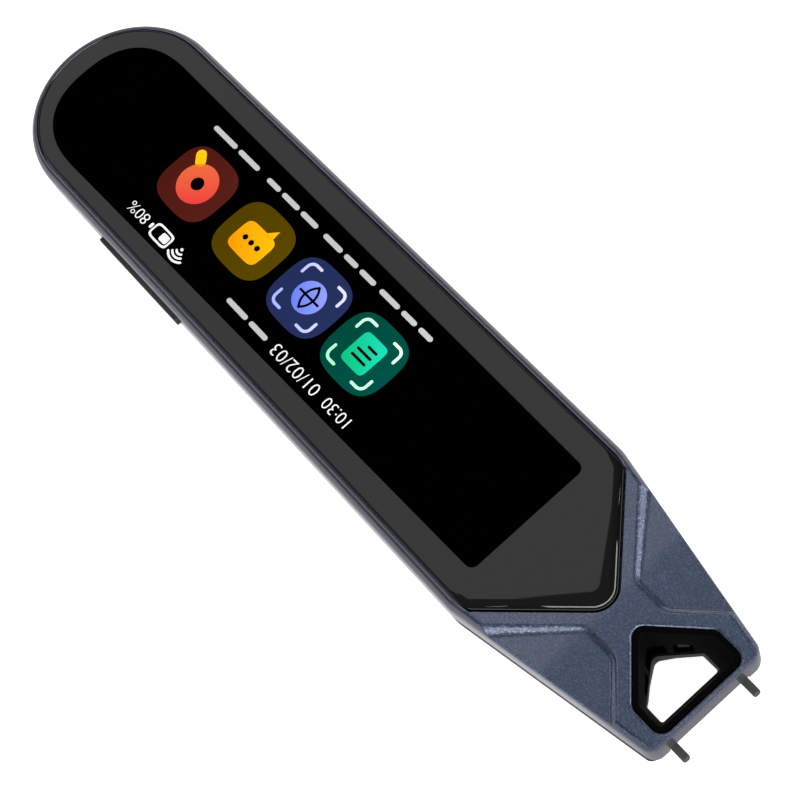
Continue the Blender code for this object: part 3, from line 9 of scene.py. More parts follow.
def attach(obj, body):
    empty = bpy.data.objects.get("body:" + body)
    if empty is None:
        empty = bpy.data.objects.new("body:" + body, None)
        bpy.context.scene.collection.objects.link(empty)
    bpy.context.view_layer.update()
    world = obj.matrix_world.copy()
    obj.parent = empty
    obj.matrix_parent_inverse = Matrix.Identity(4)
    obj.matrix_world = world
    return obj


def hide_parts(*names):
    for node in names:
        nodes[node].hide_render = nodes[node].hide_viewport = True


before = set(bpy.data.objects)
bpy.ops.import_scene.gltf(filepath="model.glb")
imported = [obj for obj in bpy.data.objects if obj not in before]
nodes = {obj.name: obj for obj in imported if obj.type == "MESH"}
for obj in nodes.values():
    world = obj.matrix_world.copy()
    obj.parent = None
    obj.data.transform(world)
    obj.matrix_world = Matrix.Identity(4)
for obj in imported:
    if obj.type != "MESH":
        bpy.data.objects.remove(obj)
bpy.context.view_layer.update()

MM = 0.001


# Floor, light and camera
# The pen lies on a seamless white sweep that glows a little. A wide soft box hangs over the tail, a low
# bright strip stands beyond the nose, and the rest of the studio is dark. The pen's walls mirror a greyer
# floor than the camera sees. A painted shadow makes that floor darkest before the nose, where the pen
# shades it. From below the sweep is clear.
FLOOR_DROP, FLOOR_HALF = 0.02, 3000.0
PAPER_GRAIN, PAPER_ROUGH, PAPER_GLOW = 100 / 3, (0.88, 0.92), 0.92
SHADE_RUN, SHADE_DARK = (0.060, 0.085), 0.35
# A lamp's edges: a direction's share along one axis, where the light starts and where it is full, or ends.
RISE, FALL = (0.0, 1.0), (1.0, 0.0)
BOX_NEAR, BOX_FAR, BOX_LOW = (-0.299, -0.292), (-0.74, -0.70), (0.50, 0.56)
BOX_RIGHT, BOX_LEFT = (-0.34, -0.26), (0.42, 0.50)
STRIP_RISE, STRIP_FALL, STRIP_SIDE, STRIP_LIGHT = (0.22, 0.28), (0.58, 0.64), (0.25, 0.45), 3.0
SWEEP_EDGE = (0.16, 0.30)
STUDIO_RISE, STUDIO_GREY = (0.55, 0.93), (0.02, 0.235)
CAMERA_PLACE = (133.18, -28.82, 258.92)
CAMERA_TURNS = ((6.3977, "X"), (25.9865, "Y"), (45.6306, "Z"))
CAMERA_LENS, SENSOR_WIDTH, CLIP_START = 85.5, 36.0, 0.01


def linear(hex_colour):
    """An sRGB hex colour as linear light: the curve of each channel is undone."""
    channels = [int(hex_colour[i:i + 2], 16) / 255 for i in (1, 3, 5)]
    return (*[c / 12.92 if c <= 0.04045 else ((c + 0.055) / 1.055) ** 2.4 for c in channels], 1.0)


def add(tree, kind, sockets=None, **settings):
    """Adds a node, with its settings, and with its sockets set to a value or linked to a node's output."""
    made = tree.nodes.new(kind)
    for name, value in settings.items():
        setattr(made, name, value)
    for name, value in (sockets or {}).items():
        if isinstance(value, bpy.types.NodeSocket):
            tree.links.new(value, made.inputs[name])
        else:
            made.inputs[name].default_value = value
    return made


def finish(name, base, **sockets):
    """A material with one Principled shader: its name, its base colour and the shader's own sockets."""
    material = bpy.data.materials.new(name)
    material.use_nodes = True
    shader = material.node_tree.nodes["Principled BSDF"]
    shader.inputs["Base Color"].default_value = linear(base)
    for socket, value in sockets.items():
        shader.inputs[socket.replace("_", " ")].default_value = value
    return material, material.node_tree, shader


def mesh_piece(name, points, faces, materials, smooth=35.0, merge=1e-7):
    """Points in millimetres and faces of any count as one closed mesh, with its doubles merged."""
    mesh = bpy.data.meshes.new(name)
    mesh.from_pydata((np.asarray(points, float) * MM).tolist(), [], [list(face) for face in faces])
    bm = bmesh.new()
    bm.from_mesh(mesh)
    bmesh.ops.remove_doubles(bm, verts=bm.verts, dist=merge)
    bmesh.ops.recalc_face_normals(bm, faces=bm.faces)
    bm.to_mesh(mesh)
    bm.free()
    for material in materials:
        mesh.materials.append(material)
    mesh.shade_smooth()
    mesh.set_sharp_from_angle(angle=math.radians(smooth))
    piece = bpy.data.objects.new(name, mesh)
    bpy.context.scene.collection.objects.link(piece)
    return piece


sweep, tree, shader = finish("painted_white_sweep", "#F4F4F4", Emission_Strength=PAPER_GLOW)
shader.inputs["Emission Color"].default_value = linear("#FFFFFF")
on_paper = add(tree, "ShaderNodeTexCoord").outputs["Object"]
fibres = add(tree, "ShaderNodeTexNoise", {"Vector": on_paper, "Scale": 1 / (PAPER_GRAIN * MM)}).outputs["Fac"]
rough = add(tree, "ShaderNodeMapRange", {"Value": fibres, "To Min": PAPER_ROUGH[0], "To Max": PAPER_ROUGH[1]})
tree.links.new(rough.outputs["Result"], shader.inputs["Roughness"])
along = add(tree, "ShaderNodeSeparateXYZ", {0: on_paper}).outputs["X"]
# Painted shadow: for mirrored rays the floor's glow falls from full to SHADE_DARK along SHADE_RUN, before the
# nose.
mirrored = add(tree, "ShaderNodeMapRange",
               {"Value": along, "From Min": SHADE_RUN[0], "From Max": SHADE_RUN[1],
                "To Min": 1.0, "To Max": SHADE_DARK}).outputs["Result"]
mirrored = add(tree, "ShaderNodeEmission",
               {"Color": linear("#D2D0D4"), "Strength": mirrored}).outputs["Emission"]
for_camera = add(tree, "ShaderNodeLightPath").outputs["Is Camera Ray"]
surface = add(tree, "ShaderNodeMixShader",
              {0: for_camera, 1: mirrored, 2: shader.outputs["BSDF"]}).outputs["Shader"]
from_below = add(tree, "ShaderNodeNewGeometry").outputs["Backfacing"]
clear = add(tree, "ShaderNodeBsdfTransparent").outputs["BSDF"]
surface = add(tree, "ShaderNodeMixShader", {0: from_below, 1: surface, 2: clear}).outputs["Shader"]
tree.links.new(surface, tree.nodes["Material Output"].inputs["Surface"])
floor_corners = np.array([(-1, -1, 0), (1, -1, 0), (1, 1, 0), (-1, 1, 0)]) * FLOOR_HALF - (0, 0, FLOOR_DROP)
floor = mesh_piece("floor", floor_corners, [(0, 1, 2, 3)], [sweep])

world = bpy.data.worlds.new("studio")
bpy.context.scene.world = world
world.use_nodes = True
tree = world.node_tree
tree.nodes.clear()
toward = add(tree, "ShaderNodeTexCoord").outputs["Generated"]
toward = add(tree, "ShaderNodeSeparateXYZ", {0: toward}).outputs


def lamp(light, limits):
    """The light of a lamp: its strength, times one ramp for each of its limits. A limit is an axis, the
    shares where its ramp starts and ends, and the values there."""
    for axis, (start, end), (first, last) in limits:
        ramp = add(tree, "ShaderNodeMapRange", {"Value": toward[axis], "From Min": start, "From Max": end,
                                                "To Min": first, "To Max": last}).outputs["Result"]
        light = add(tree, "ShaderNodeMath", {0: light, 1: ramp}, operation="MULTIPLY").outputs["Value"]
    return light


soft_box = lamp(1.0, [("X", BOX_NEAR, FALL), ("X", BOX_FAR, RISE), ("Z", BOX_LOW, RISE),
                      ("Y", BOX_RIGHT, RISE), ("Y", BOX_LEFT, FALL)])
strip = lamp(STRIP_LIGHT, [("Z", STRIP_RISE, RISE), ("Z", STRIP_FALL, FALL), ("X", STRIP_SIDE, RISE)])
low_sweep = add(tree, "ShaderNodeMapRange", {"Value": toward["Z"], "From Min": SWEEP_EDGE[0],
                                             "From Max": SWEEP_EDGE[1], "To Min": 1.0, "To Max": 0.0},
                interpolation_type="SMOOTHSTEP").outputs["Result"]
studio = add(tree, "ShaderNodeMapRange", {"Value": toward["Z"], "From Min": STUDIO_RISE[0],
                                          "From Max": STUDIO_RISE[1], "To Min": STUDIO_GREY[0],
                                          "To Max": STUDIO_GREY[1]}).outputs["Result"]
for_camera = add(tree, "ShaderNodeLightPath").outputs["Is Camera Ray"]
lit = soft_box
for light in (low_sweep, studio, strip, for_camera):
    lit = add(tree, "ShaderNodeMath", {0: lit, 1: light}, operation="MAXIMUM").outputs["Value"]
sky = add(tree, "ShaderNodeBackground", {"Color": linear("#FFFFFF"), "Strength": lit})
add(tree, "ShaderNodeOutputWorld", {"Surface": sky.outputs["Background"]})
bpy.context.scene.view_settings.view_transform = "Standard"

camera_data = bpy.data.cameras.new("photo_camera")
camera_data.lens = CAMERA_LENS
camera_data.sensor_width = SENSOR_WIDTH
camera_data.clip_start = CLIP_START
photo_camera = bpy.data.objects.new("photo_camera", camera_data)
bpy.context.scene.collection.objects.link(photo_camera)
turn = Matrix.Identity(4)
for degrees, axis in CAMERA_TURNS:
    turn = turn @ Matrix.Rotation(math.radians(degrees), 4, axis)
photo_camera.matrix_world = Matrix.Translation([place * MM for place in CAMERA_PLACE]) @ turn
bpy.context.scene.camera = photo_camera


# Upper case
# One moulding of pearl blue-grey plastic: the side walls, the recess for the glass, and the nose with its
# raised cross and window. Mica flakes under a clear lacquer make it glitter. Real ones are too fine to show,
# so each is drawn 0.12 mm wide. The wall and the outer rim are painted greyer than the top. This is a
# painted reflection of the bright low light in the lacquer.
TAIL_X, NOSE_X, SHOULDER_X = -77.0, 74.8, 40.5
HALF_WIDTH, NOSE_HALF, TOP_Z, CASE_LOW = 16.6, 10.15, 11.75, 5.35
ROUND_CENTRE_X, ROUND_SHY = TAIL_X + HALF_WIDTH, 0.05
SHOULDER_ROUND, NOSE_ROUND, NOSE_ROUND_X = 8.0, 2.1, 73.09
EDGE_WIDTH, EDGE_DEPTH, FRONT_EDGE, FOOT_Z, FOOT_LEAN = 1.2, 1.9, 0.2, 6.2, 0.1
BLUNT_FROM_X, BLUNT_START, BLUNT_RUN = 60.0, 0.25, 0.7
GLASS_TAIL_X, GLASS_TIP_X, GLASS_SHOULDER_X, GLASS_HALF = TAIL_X + 1.6, 57.45, 42.65, 15.0
GLASS_ROUND, GLASS_TIP_ROUND = 2.2, 3.5
WINDOW_APEX_X, WINDOW_CUT_X, WINDOW_FRONT_X, WINDOW_HALF = 59.95, 68.45, 74.25, 7.9
WINDOW_APEX_ROUND, WINDOW_ROUND, WINDOW_INSET = 1.8, 1.9, 1.0
THROAT_APEX_X, THROAT_CUT_X, THROAT_FRONT_X, THROAT_HALF, THROAT_Z = 63.02, 67.39, 70.46, 5.37, 2.2
THROAT_APEX_ROUND, THROAT_ROUND = 1.1, 0.4
RECESS_GAP, RECESS_FLOOR, DECK_UNDER, WALL = 0.25, 10.25, 9.35, 1.3
GLASS_RIM, WINDOW_RIM, HOLE_GROW = 0.12, 0.55, 0.78
HOLE_TAIL_X, HOLE_NOSE_X, HOLE_HALF = -52.55, 40.45, 12.4
FACET_DEPTH, BRIDGE_SHARE, OUT_RUN, ARROW_WIDER = 1.0, 0.48, 12.0, 0.9
ARROW_BAND, BRIDGE_BAND, WINDOW_BAND = 1.9, 4.1, 1.7
ARROW_SLOPE, BRIDGE_SLOPE, WINDOW_SLOPE = 1.0, 1.3, 1.1
TOP_ROWS, EDGE_ROWS, RIM_ROWS, BEND_STEPS = 80, 11, 6, 24
TAIL_COLUMNS, SIDE_COLUMNS, ARROW_COLUMNS, BRIDGE_COLUMNS = 30, 30, 170, 28
WINDOW_COLUMNS, FRONT_COLUMNS = 86, (18, 22, 40)
SIDE_END_X, WINDOW_SPLIT_X = 39.0, 70.0
OF_GLASS, OF_BRIDGE, OF_WINDOW = 0, 1, 2
# No corner is sharper than LEAST_ROUND, a stop is a HAIR before its corner, and a cutter starts PAST a wall.
LEAST_ROUND, HAIR, PAST, ON_PLANE = 0.02, 0.001, 1.0, 1e-6
CASE_SMOOTH = 38.0
FLAKE, FLAKE_LEAN, FLAKE_DULL = 0.12, 0.24, 0.75
CLOUD_SIZE, CLOUD_DETAIL, CLOUD_SHADE = 100 / 9, 2.0, (0.92, 1.08)
# Painted reflection on the wall and outer rim: the heights and the distances from the tail's middle, in mm,
# over which it fades, and its share.
RIM_SHEEN_RUN, WALL_SHEEN_RUN, SHEEN_SHARE = (15.1, 15.5), (9.9, 10.4), 0.85
# The openings in the walls: half length, half height and corner radius, then the middle and the cut's depth.
KEY_HOLE, KEY_MIDDLE, KEY_DEEP = (10.95, 1.3, 1.29), (-36.3, 7.4), WALL + 0.4
PORT_HOLE, PORT_MIDDLE, PORT_DEEP = (4.77, 2.6, 1.7), (0, 5.9), 3.0
SOUND_HOLE, TAIL_SOUND, TAIL_SOUND_DEEP = (0.4, 0.4, 0.39), (-6.6, 7.75), 4.0
SIDE_SOUND, SIDE_SOUND_DEEP = (35.25, 7.75), WALL + 0.6
FRONT_HOLE, FRONT_MIDDLE, FRONT_FLOOR_X = (7.35, 2.15, 0.3), (0, 4.5), 71.1
ROUND_POINTS = 9


def outline(corners, grow=0.0):
    """Points of a convex outline, counter-clockwise, moved outward by `grow`. Each corner is (x, y, radius),
    and its arc touches both sides: its centre lies a radius inside them, and the angle runs evenly from one
    side's normal to the other's."""
    corner = np.array(corners, float)
    place, radius = corner[:, :2], np.maximum(corner[:, 2] + grow, LEAST_ROUND)
    ahead = np.roll(place, -1, 0) - place
    ahead /= np.linalg.norm(ahead, axis=1)[:, None]
    behind = np.roll(ahead, 1, 0)
    out = np.stack([ahead[:, 1], -ahead[:, 0]], 1)
    out_behind = np.roll(out, 1, 0)
    cross = behind[:, 0] * ahead[:, 1] - behind[:, 1] * ahead[:, 0]
    bend = np.arctan2(cross, (behind * ahead).sum(1))
    spread = out + out_behind
    middle = spread / (spread * out).sum(1)[:, None]
    centre = place + middle * (grow - radius)[:, None]
    first = np.arctan2(out_behind[:, 1], out_behind[:, 0])
    angle = first[:, None] + bend[:, None] * np.linspace(0, 1, BEND_STEPS + 1)
    points = centre[:, None] + radius[:, None, None] * np.stack([np.cos(angle), np.sin(angle)], 2)
    return points.reshape(-1, 2)


def upper_side(points):
    """The half of a closed outline that has y above zero, from its end toward the tail to its end toward the
    nose, both brought to y = 0."""
    high = points[:, 1] > ON_PLANE
    start = np.flatnonzero(high & ~np.roll(high, 1))[0]
    run = np.roll(points, -start, 0)[: high.sum()][::-1]
    low_end, high_end = [points[:, 0].min(), 0.0], [points[:, 0].max(), 0.0]
    return np.vstack([low_end, run, high_end])


def spaced(path, places):
    """Points on a path at shares of its length, read between its corners, and the shares of its corners."""
    run = np.concatenate([[0], np.cumsum(np.linalg.norm(np.diff(path, axis=0), axis=1))])
    run /= run[-1]
    return np.stack([np.interp(places, run, path[:, axis]) for axis in (0, 1)], 1), run


GLASS = [(GLASS_TAIL_X, -GLASS_HALF, GLASS_HALF - ROUND_SHY), (GLASS_SHOULDER_X, -GLASS_HALF, GLASS_ROUND),
         (GLASS_TIP_X, 0, GLASS_TIP_ROUND), (GLASS_SHOULDER_X, GLASS_HALF, GLASS_ROUND),
         (GLASS_TAIL_X, GLASS_HALF, GLASS_HALF - ROUND_SHY)]
BODY = [(TAIL_X, -HALF_WIDTH, HALF_WIDTH - ROUND_SHY), (SHOULDER_X, -HALF_WIDTH, SHOULDER_ROUND),
        (NOSE_X, -NOSE_HALF, NOSE_ROUND), (NOSE_X, NOSE_HALF, NOSE_ROUND),
        (SHOULDER_X, HALF_WIDTH, SHOULDER_ROUND), (TAIL_X, HALF_WIDTH, HALF_WIDTH - ROUND_SHY)]
MOUTH = [(WINDOW_APEX_X, 0, WINDOW_APEX_ROUND), (WINDOW_CUT_X, -WINDOW_HALF, WINDOW_ROUND),
         (WINDOW_FRONT_X, -WINDOW_HALF, WINDOW_ROUND), (WINDOW_FRONT_X, WINDOW_HALF, WINDOW_ROUND),
         (WINDOW_CUT_X, WINDOW_HALF, WINDOW_ROUND)]
THROAT = [(THROAT_APEX_X, 0, THROAT_APEX_ROUND), (THROAT_CUT_X, -THROAT_HALF, THROAT_ROUND),
          (THROAT_FRONT_X, -THROAT_HALF, THROAT_ROUND), (THROAT_FRONT_X, THROAT_HALF, THROAT_ROUND),
          (THROAT_CUT_X, THROAT_HALF, THROAT_ROUND)]


def window_at(z, grow):
    """The window's outline at a height: a straight line from its throat to its mouth, point by point."""
    share = (z - THROAT_Z) / (TOP_Z - THROAT_Z)
    low, high = outline(THROAT, grow), outline(MOUTH, grow - WINDOW_INSET)
    return low + (high - low) * share


def step(distance, width):
    """Rises from 0 to 1 over `width` past zero: 3t2 - 2t3."""
    t = np.clip(distance / width, 0, 1)
    return t * t * (3 - 2 * t)


def nose_height(x, y):
    """The top's height: flat, less the recess between the arms of the raised cross. The recess deepens evenly
    from the bridge outward, and each arm's side is a smooth step. Only the arrow's widens outward."""
    y = np.abs(y)
    arrow = np.array([GLASS_HALF, GLASS_TIP_X - GLASS_SHOULDER_X])
    arrow = arrow / np.linalg.norm(arrow)
    slant = np.array([-WINDOW_HALF, WINDOW_CUT_X - WINDOW_APEX_X])
    slant = slant / np.linalg.norm(slant)
    from_arrow = (x - GLASS_TIP_X) * arrow[0] + y * arrow[1] - ARROW_BAND
    from_slant = (x - WINDOW_APEX_X) * slant[0] + y * slant[1] - WINDOW_BAND
    outward = np.clip((y - BRIDGE_BAND) / OUT_RUN, 0, 1)
    depth = FACET_DEPTH * (BRIDGE_SHARE + (1 - BRIDGE_SHARE) * outward)
    shape = step(from_arrow, ARROW_SLOPE + ARROW_WIDER * outward) * step(y - BRIDGE_BAND, BRIDGE_SLOPE)
    shape *= step(from_slant, WINDOW_SLOPE)
    return TOP_Z - depth * shape


def case_half():
    """The case for y >= 0 as columns of one closed section each. A column starts at the rim of the recess or
    the window, crosses the top, rolls over the edge (a quarter ellipse), and comes back inside the wall."""
    body = upper_side(outline(BODY))
    body_x, first = np.unique(body[:, 0], return_index=True)
    body_y = body[first, 1]
    rim, wall = (upper_side(outline(GLASS, RECESS_GAP + grow)) for grow in (GLASS_RIM, 0.0))
    mouth, hole = (upper_side(window_at(TOP_Z, HOLE_GROW + grow)) for grow in (WINDOW_RIM, 0.0))
    hole_low = upper_side(window_at(DECK_UNDER, HOLE_GROW))

    def side_y(x):
        """The body's half width at a place along it."""
        return np.interp(x, body_x, body_y)

    def read(paths, shares):
        """The first path at shares of its length, and the others at the same places between their points."""
        points, run = spaced(paths[0], shares)
        count = np.arange(len(run))
        index = np.interp(shares, run, count)
        others = [np.stack([np.interp(index, count, path[:, axis]) for axis in (0, 1)], 1)
                  for path in paths[1:]]
        return [points, *others]

    def shares_for(path, stops, counts):
        """Shares of a path's length between given x stops, each stretch with its own count."""
        run = spaced(path, [0])[1]
        at = [0.0]
        for stop, count in zip(stops, counts):
            share = np.interp(stop, path[:, 0], run) if stop is not None else 1.0
            at += list(np.linspace(at[-1], share, count + 1)[1:])
        return np.array(at)

    # glass part: tail arc, straight side, shoulder and arrow
    shares = shares_for(rim, [ROUND_CENTRE_X, SIDE_END_X, None], [TAIL_COLUMNS, SIDE_COLUMNS, ARROW_COLUMNS])
    top, inner = read([rim, wall], shares)
    low = inner.copy()
    angle = np.arctan2(top[:, 1], top[:, 0] - ROUND_CENTRE_X)
    is_tail = top[:, 0] < ROUND_CENTRE_X
    outer = np.where(is_tail[:, None],
                     np.stack([ROUND_CENTRE_X + HALF_WIDTH * np.cos(angle), HALF_WIDTH * np.sin(angle)], 1),
                     np.stack([top[:, 0], side_y(top[:, 0])], 1))
    glass_columns = len(top)
    # bridge between the glass and the window
    bridge_x = np.linspace(top[-1, 0], mouth[0, 0], BRIDGE_COLUMNS)[1:-1]
    bridge = np.stack([bridge_x, 0 * bridge_x], 1)
    # window part: point, slant and side, then its front corner and front
    stop = int(np.flatnonzero(mouth[:, 0] <= WINDOW_SPLIT_X).max())
    back = read([path[: stop + 1] for path in (mouth, hole, hole_low)], np.linspace(0, 1, WINDOW_COLUMNS))
    front_paths = [path[stop:] for path in (mouth, hole, hole_low)]
    split_x = mouth[stop, 0]
    body_front = np.vstack([[split_x, side_y(split_x)], body[body[:, 0] > split_x]])
    corner_x = WINDOW_FRONT_X - WINDOW_ROUND
    corner_end_x = WINDOW_FRONT_X + HOLE_GROW - WINDOW_INSET + WINDOW_RIM - HAIR
    front = read(front_paths, shares_for(front_paths[0], [corner_x, corner_end_x, None], FRONT_COLUMNS))
    front_outer = spaced(body_front,
                         shares_for(body_front, [NOSE_ROUND_X, NOSE_X - HAIR, None], FRONT_COLUMNS))[0]
    top = np.vstack([top, bridge, back[0], front[0][1:]])
    inner = np.vstack([inner, bridge, back[1], front[1][1:]])
    low = np.vstack([low, bridge, back[2], front[2][1:]])
    outer = np.vstack([outer, np.stack([bridge_x, side_y(bridge_x)], 1),
                       np.stack([back[0][:, 0], side_y(back[0][:, 0])], 1), front_outer[1:]])
    kind = np.repeat([OF_GLASS, OF_BRIDGE, OF_WINDOW],
                     [glass_columns, len(bridge), len(back[0]) + len(front[0]) - 1])
    return top, inner, low, outer, kind


def raised(points, z):
    """Points of the plan with a height: one for all of them, or each its own."""
    return np.concatenate([points, np.broadcast_to(z, len(points))[:, None]], 1)


def strip_faces(row_count, column_count):
    """The quads between rows of points of one length, with the last row joined to the first."""
    index = np.arange(row_count * column_count).reshape(row_count, column_count)
    below = np.roll(index, -1, 0)
    return np.stack([index[:, :-1], index[:, 1:], below[:, 1:], below[:, :-1]], 2)


def case_mesh():
    """Rows of the section over case_half's columns, mirrored at y = 0, where both halves share points."""
    top, inner, low, outer, kind = case_half()
    run = np.gradient(outer, axis=0)
    run /= np.linalg.norm(run, axis=1)[:, None]
    out = np.stack([-run[:, 1], run[:, 0]], 1)
    out[0], out[-1] = (-1, 0), (1, 0)
    toward_front = np.clip(out[:, 0], 0, 1)
    blunt = np.where(outer[:, 0] > BLUNT_FROM_X, step(toward_front - BLUNT_START, BLUNT_RUN), 0.0)
    width = EDGE_WIDTH + (FRONT_EDGE - EDGE_WIDTH) * blunt
    glass, window = kind == OF_GLASS, kind == OF_WINDOW
    rim = np.where(glass, GLASS_RIM, np.where(window, WINDOW_RIM, 0.0))
    rows, open_rows = [], []

    def row(points, z, inside=False):
        """Takes one row of the section down, and whether it lies inside the case's openings."""
        rows.append(raised(points, z))
        open_rows.append(inside)

    edge_start = outer - out * width[:, None]
    for share in np.linspace(0, 1, TOP_ROWS):
        spot = top + (edge_start - top) * share
        row(spot, nose_height(spot[:, 0], spot[:, 1]))
    for angle in np.linspace(math.pi / 2, 0, EDGE_ROWS)[1:]:
        spot = outer - out * (width * (1 - math.cos(angle)))[:, None]
        z = TOP_Z - EDGE_DEPTH * (1 - math.sin(angle))
        row(spot, np.minimum(z, nose_height(spot[:, 0], spot[:, 1])))
    row(outer, FOOT_Z)
    row(outer - FOOT_LEAN * out, CASE_LOW)
    lining = outer - WALL * out
    lining[:, 1] = np.maximum(lining[:, 1], 0)
    row(lining, CASE_LOW)
    row(lining, DECK_UNDER)
    deck = np.stack([np.clip(inner[:, 0], HOLE_TAIL_X, HOLE_NOSE_X), np.minimum(inner[:, 1], HOLE_HALF)], 1)
    under = np.where(glass[:, None], deck, low)
    row(under, DECK_UNDER, True)
    row(under, np.where(glass, RECESS_FLOOR, DECK_UNDER), True)
    row(np.where(glass[:, None], inner, low), np.where(glass, RECESS_FLOOR, DECK_UNDER), True)
    for angle in np.linspace(0, math.pi / 2, RIM_ROWS)[:-1]:
        row(top + (inner - top) * math.cos(angle), TOP_Z - rim * (1 - math.sin(angle)), True)
    grid = np.stack(rows)
    grid[:, [0, -1], 1] = 0.0
    points = grid.reshape(-1, 3)
    own = np.arange(len(points))
    mirror = np.where(np.abs(points[:, 1]) < ON_PLANE, own, own + len(points))
    over_bridge = (kind[:-1] == OF_BRIDGE) | (kind[1:] == OF_BRIDGE)
    quads = strip_faces(*grid.shape[:2])[~(np.array(open_rows)[:, None] & over_bridge)]
    return np.vstack([points, points * (1, -1, 1)]), np.vstack([quads, mirror[quads][:, ::-1]])


pearl, tree, shader = finish("moulded_pearl_plastic", "#2C3550", Metallic=0.7, Roughness=0.36,
                             Coat_Weight=1.0, Coat_Roughness=0.03, Coat_IOR=1.5)
place = add(tree, "ShaderNodeTexCoord").outputs["Object"]
flake = add(tree, "ShaderNodeTexVoronoi", {"Vector": place, "Scale": 1 / (FLAKE * MM)}).outputs["Color"]
lean = add(tree, "ShaderNodeVectorMath", {0: flake, 1: (0.5, 0.5, 0.5)},
           operation="SUBTRACT").outputs["Vector"]
lean = add(tree, "ShaderNodeVectorMath", {0: lean, "Scale": FLAKE_LEAN}, operation="SCALE").outputs["Vector"]
facing = add(tree, "ShaderNodeNewGeometry").outputs["Normal"]
lean = add(tree, "ShaderNodeVectorMath", {0: facing, 1: lean}, operation="ADD").outputs["Vector"]
lean = add(tree, "ShaderNodeVectorMath", {0: lean}, operation="NORMALIZE").outputs["Vector"]
tree.links.new(lean, shader.inputs["Normal"])
glint = add(tree, "ShaderNodeSeparateColor", {0: flake}).outputs["Red"]
ramp = add(tree, "ShaderNodeValToRGB", {"Fac": glint})
ramp.color_ramp.elements[0].color = linear("#3E4A66")
ramp.color_ramp.elements[1].position = FLAKE_DULL
ramp.color_ramp.elements[1].color = linear("#5E6D8B")
ramp.color_ramp.elements.new(1.0).color = linear("#8C9AB8")
cloud = add(tree, "ShaderNodeTexNoise",
            {"Vector": place, "Scale": 1 / (CLOUD_SIZE * MM), "Detail": CLOUD_DETAIL})
cloud = add(tree, "ShaderNodeMapRange", {"Value": cloud.outputs["Fac"], "To Min": CLOUD_SHADE[0],
                                         "To Max": CLOUD_SHADE[1]}).outputs["Result"]
tint = ramp.outputs["Color"]
tint = add(tree, "ShaderNodeVectorMath", {0: tint, "Scale": cloud}, operation="SCALE").outputs["Vector"]
# Painted reflection: on the wall below the top and on the outer rim, the base colour is mixed toward the grey
# #6E6C76. It stands for the lacquer mirroring the bright low light.
spot = add(tree, "ShaderNodeSeparateXYZ", {0: place}).outputs
wall_sheen = add(tree, "ShaderNodeMapRange",
               {"Value": spot["Z"], "From Min": WALL_SHEEN_RUN[0] * MM, "From Max": WALL_SHEEN_RUN[1] * MM,
                "To Min": SHEEN_SHARE, "To Max": 0.0})
behind = add(tree, "ShaderNodeMath", {0: spot["X"], 1: -ROUND_CENTRE_X * MM},
             operation="ADD").outputs["Value"]
behind = add(tree, "ShaderNodeMath", {0: behind, 1: 0.0}, operation="MINIMUM").outputs["Value"]
spine = add(tree, "ShaderNodeCombineXYZ", {"X": behind, "Y": spot["Y"]}).outputs["Vector"]
spine = add(tree, "ShaderNodeVectorMath", {0: spine}, operation="LENGTH").outputs["Value"]
rim_sheen = add(tree, "ShaderNodeMapRange",
                {"Value": spine, "From Min": RIM_SHEEN_RUN[0] * MM, "From Max": RIM_SHEEN_RUN[1] * MM,
                 "To Min": 0.0, "To Max": SHEEN_SHARE})
grey = add(tree, "ShaderNodeMath", {0: wall_sheen.outputs["Result"], 1: rim_sheen.outputs["Result"]},
           operation="MAXIMUM").outputs["Value"]
tone = add(tree, "ShaderNodeMix", {0: grey, 6: tint, 7: linear("#6E6C76")}, data_type="RGBA").outputs[2]
tree.links.new(tone, shader.inputs["Base Color"])

upper_case = mesh_piece("upper_case_shell", *case_mesh(), [pearl], smooth=CASE_SMOOTH)


def prism(shape, start, end, axis):
    """A closed outline carried along one axis: its two ends as whole faces and a row of sides between."""
    shape, count = np.asarray(shape, float), len(shape)
    ends = [np.insert(shape, axis, place, 1) for place in (start, end)]
    ring = np.arange(count)
    after = np.roll(ring, -1)
    sides = np.stack([ring, after, after + count, ring + count], 1)
    return np.vstack(ends), [*sides, ring[::-1], ring + count]


def rounded(half_x, half_y, radius, middle):
    """A box with round corners: a quarter circle at each of its four corners."""
    turn = np.radians(np.arange(4)[:, None] * 90 + np.linspace(0, 90, ROUND_POINTS))
    corner = np.array([(1, 1), (-1, 1), (-1, -1), (1, -1)]) * (half_x - radius, half_y - radius)
    return (corner[:, None] + radius * np.stack([np.cos(turn), np.sin(turn)], 2)).reshape(-1, 2) + middle


def joined(bodies):
    """Several closed bodies, each its points and its faces, as one list of points and one of faces."""
    points, faces, start = [], [], 0
    for corners, sides in bodies:
        points.append(corners)
        faces += [[int(corner) + start for corner in side] for side in sides]
        start += len(corners)
    return np.vstack(points), faces


def cut(piece, cutters, smooth):
    """Takes closed prisms out of a piece, with an exact Boolean that is applied at once."""
    tool = mesh_piece("cutter", *joined(cutters), [])
    taken = piece.modifiers.new("cut", "BOOLEAN")
    taken.operation, taken.solver, taken.object = "DIFFERENCE", "EXACT", tool
    bpy.context.view_layer.update()
    mesh = bpy.data.meshes.new_from_object(piece.evaluated_get(bpy.context.evaluated_depsgraph_get()))
    piece.modifiers.clear()
    mesh.name = piece.name
    piece.data = mesh
    bpy.data.objects.remove(tool, do_unlink=True)
    mesh.shade_smooth()
    mesh.set_sharp_from_angle(angle=math.radians(smooth))


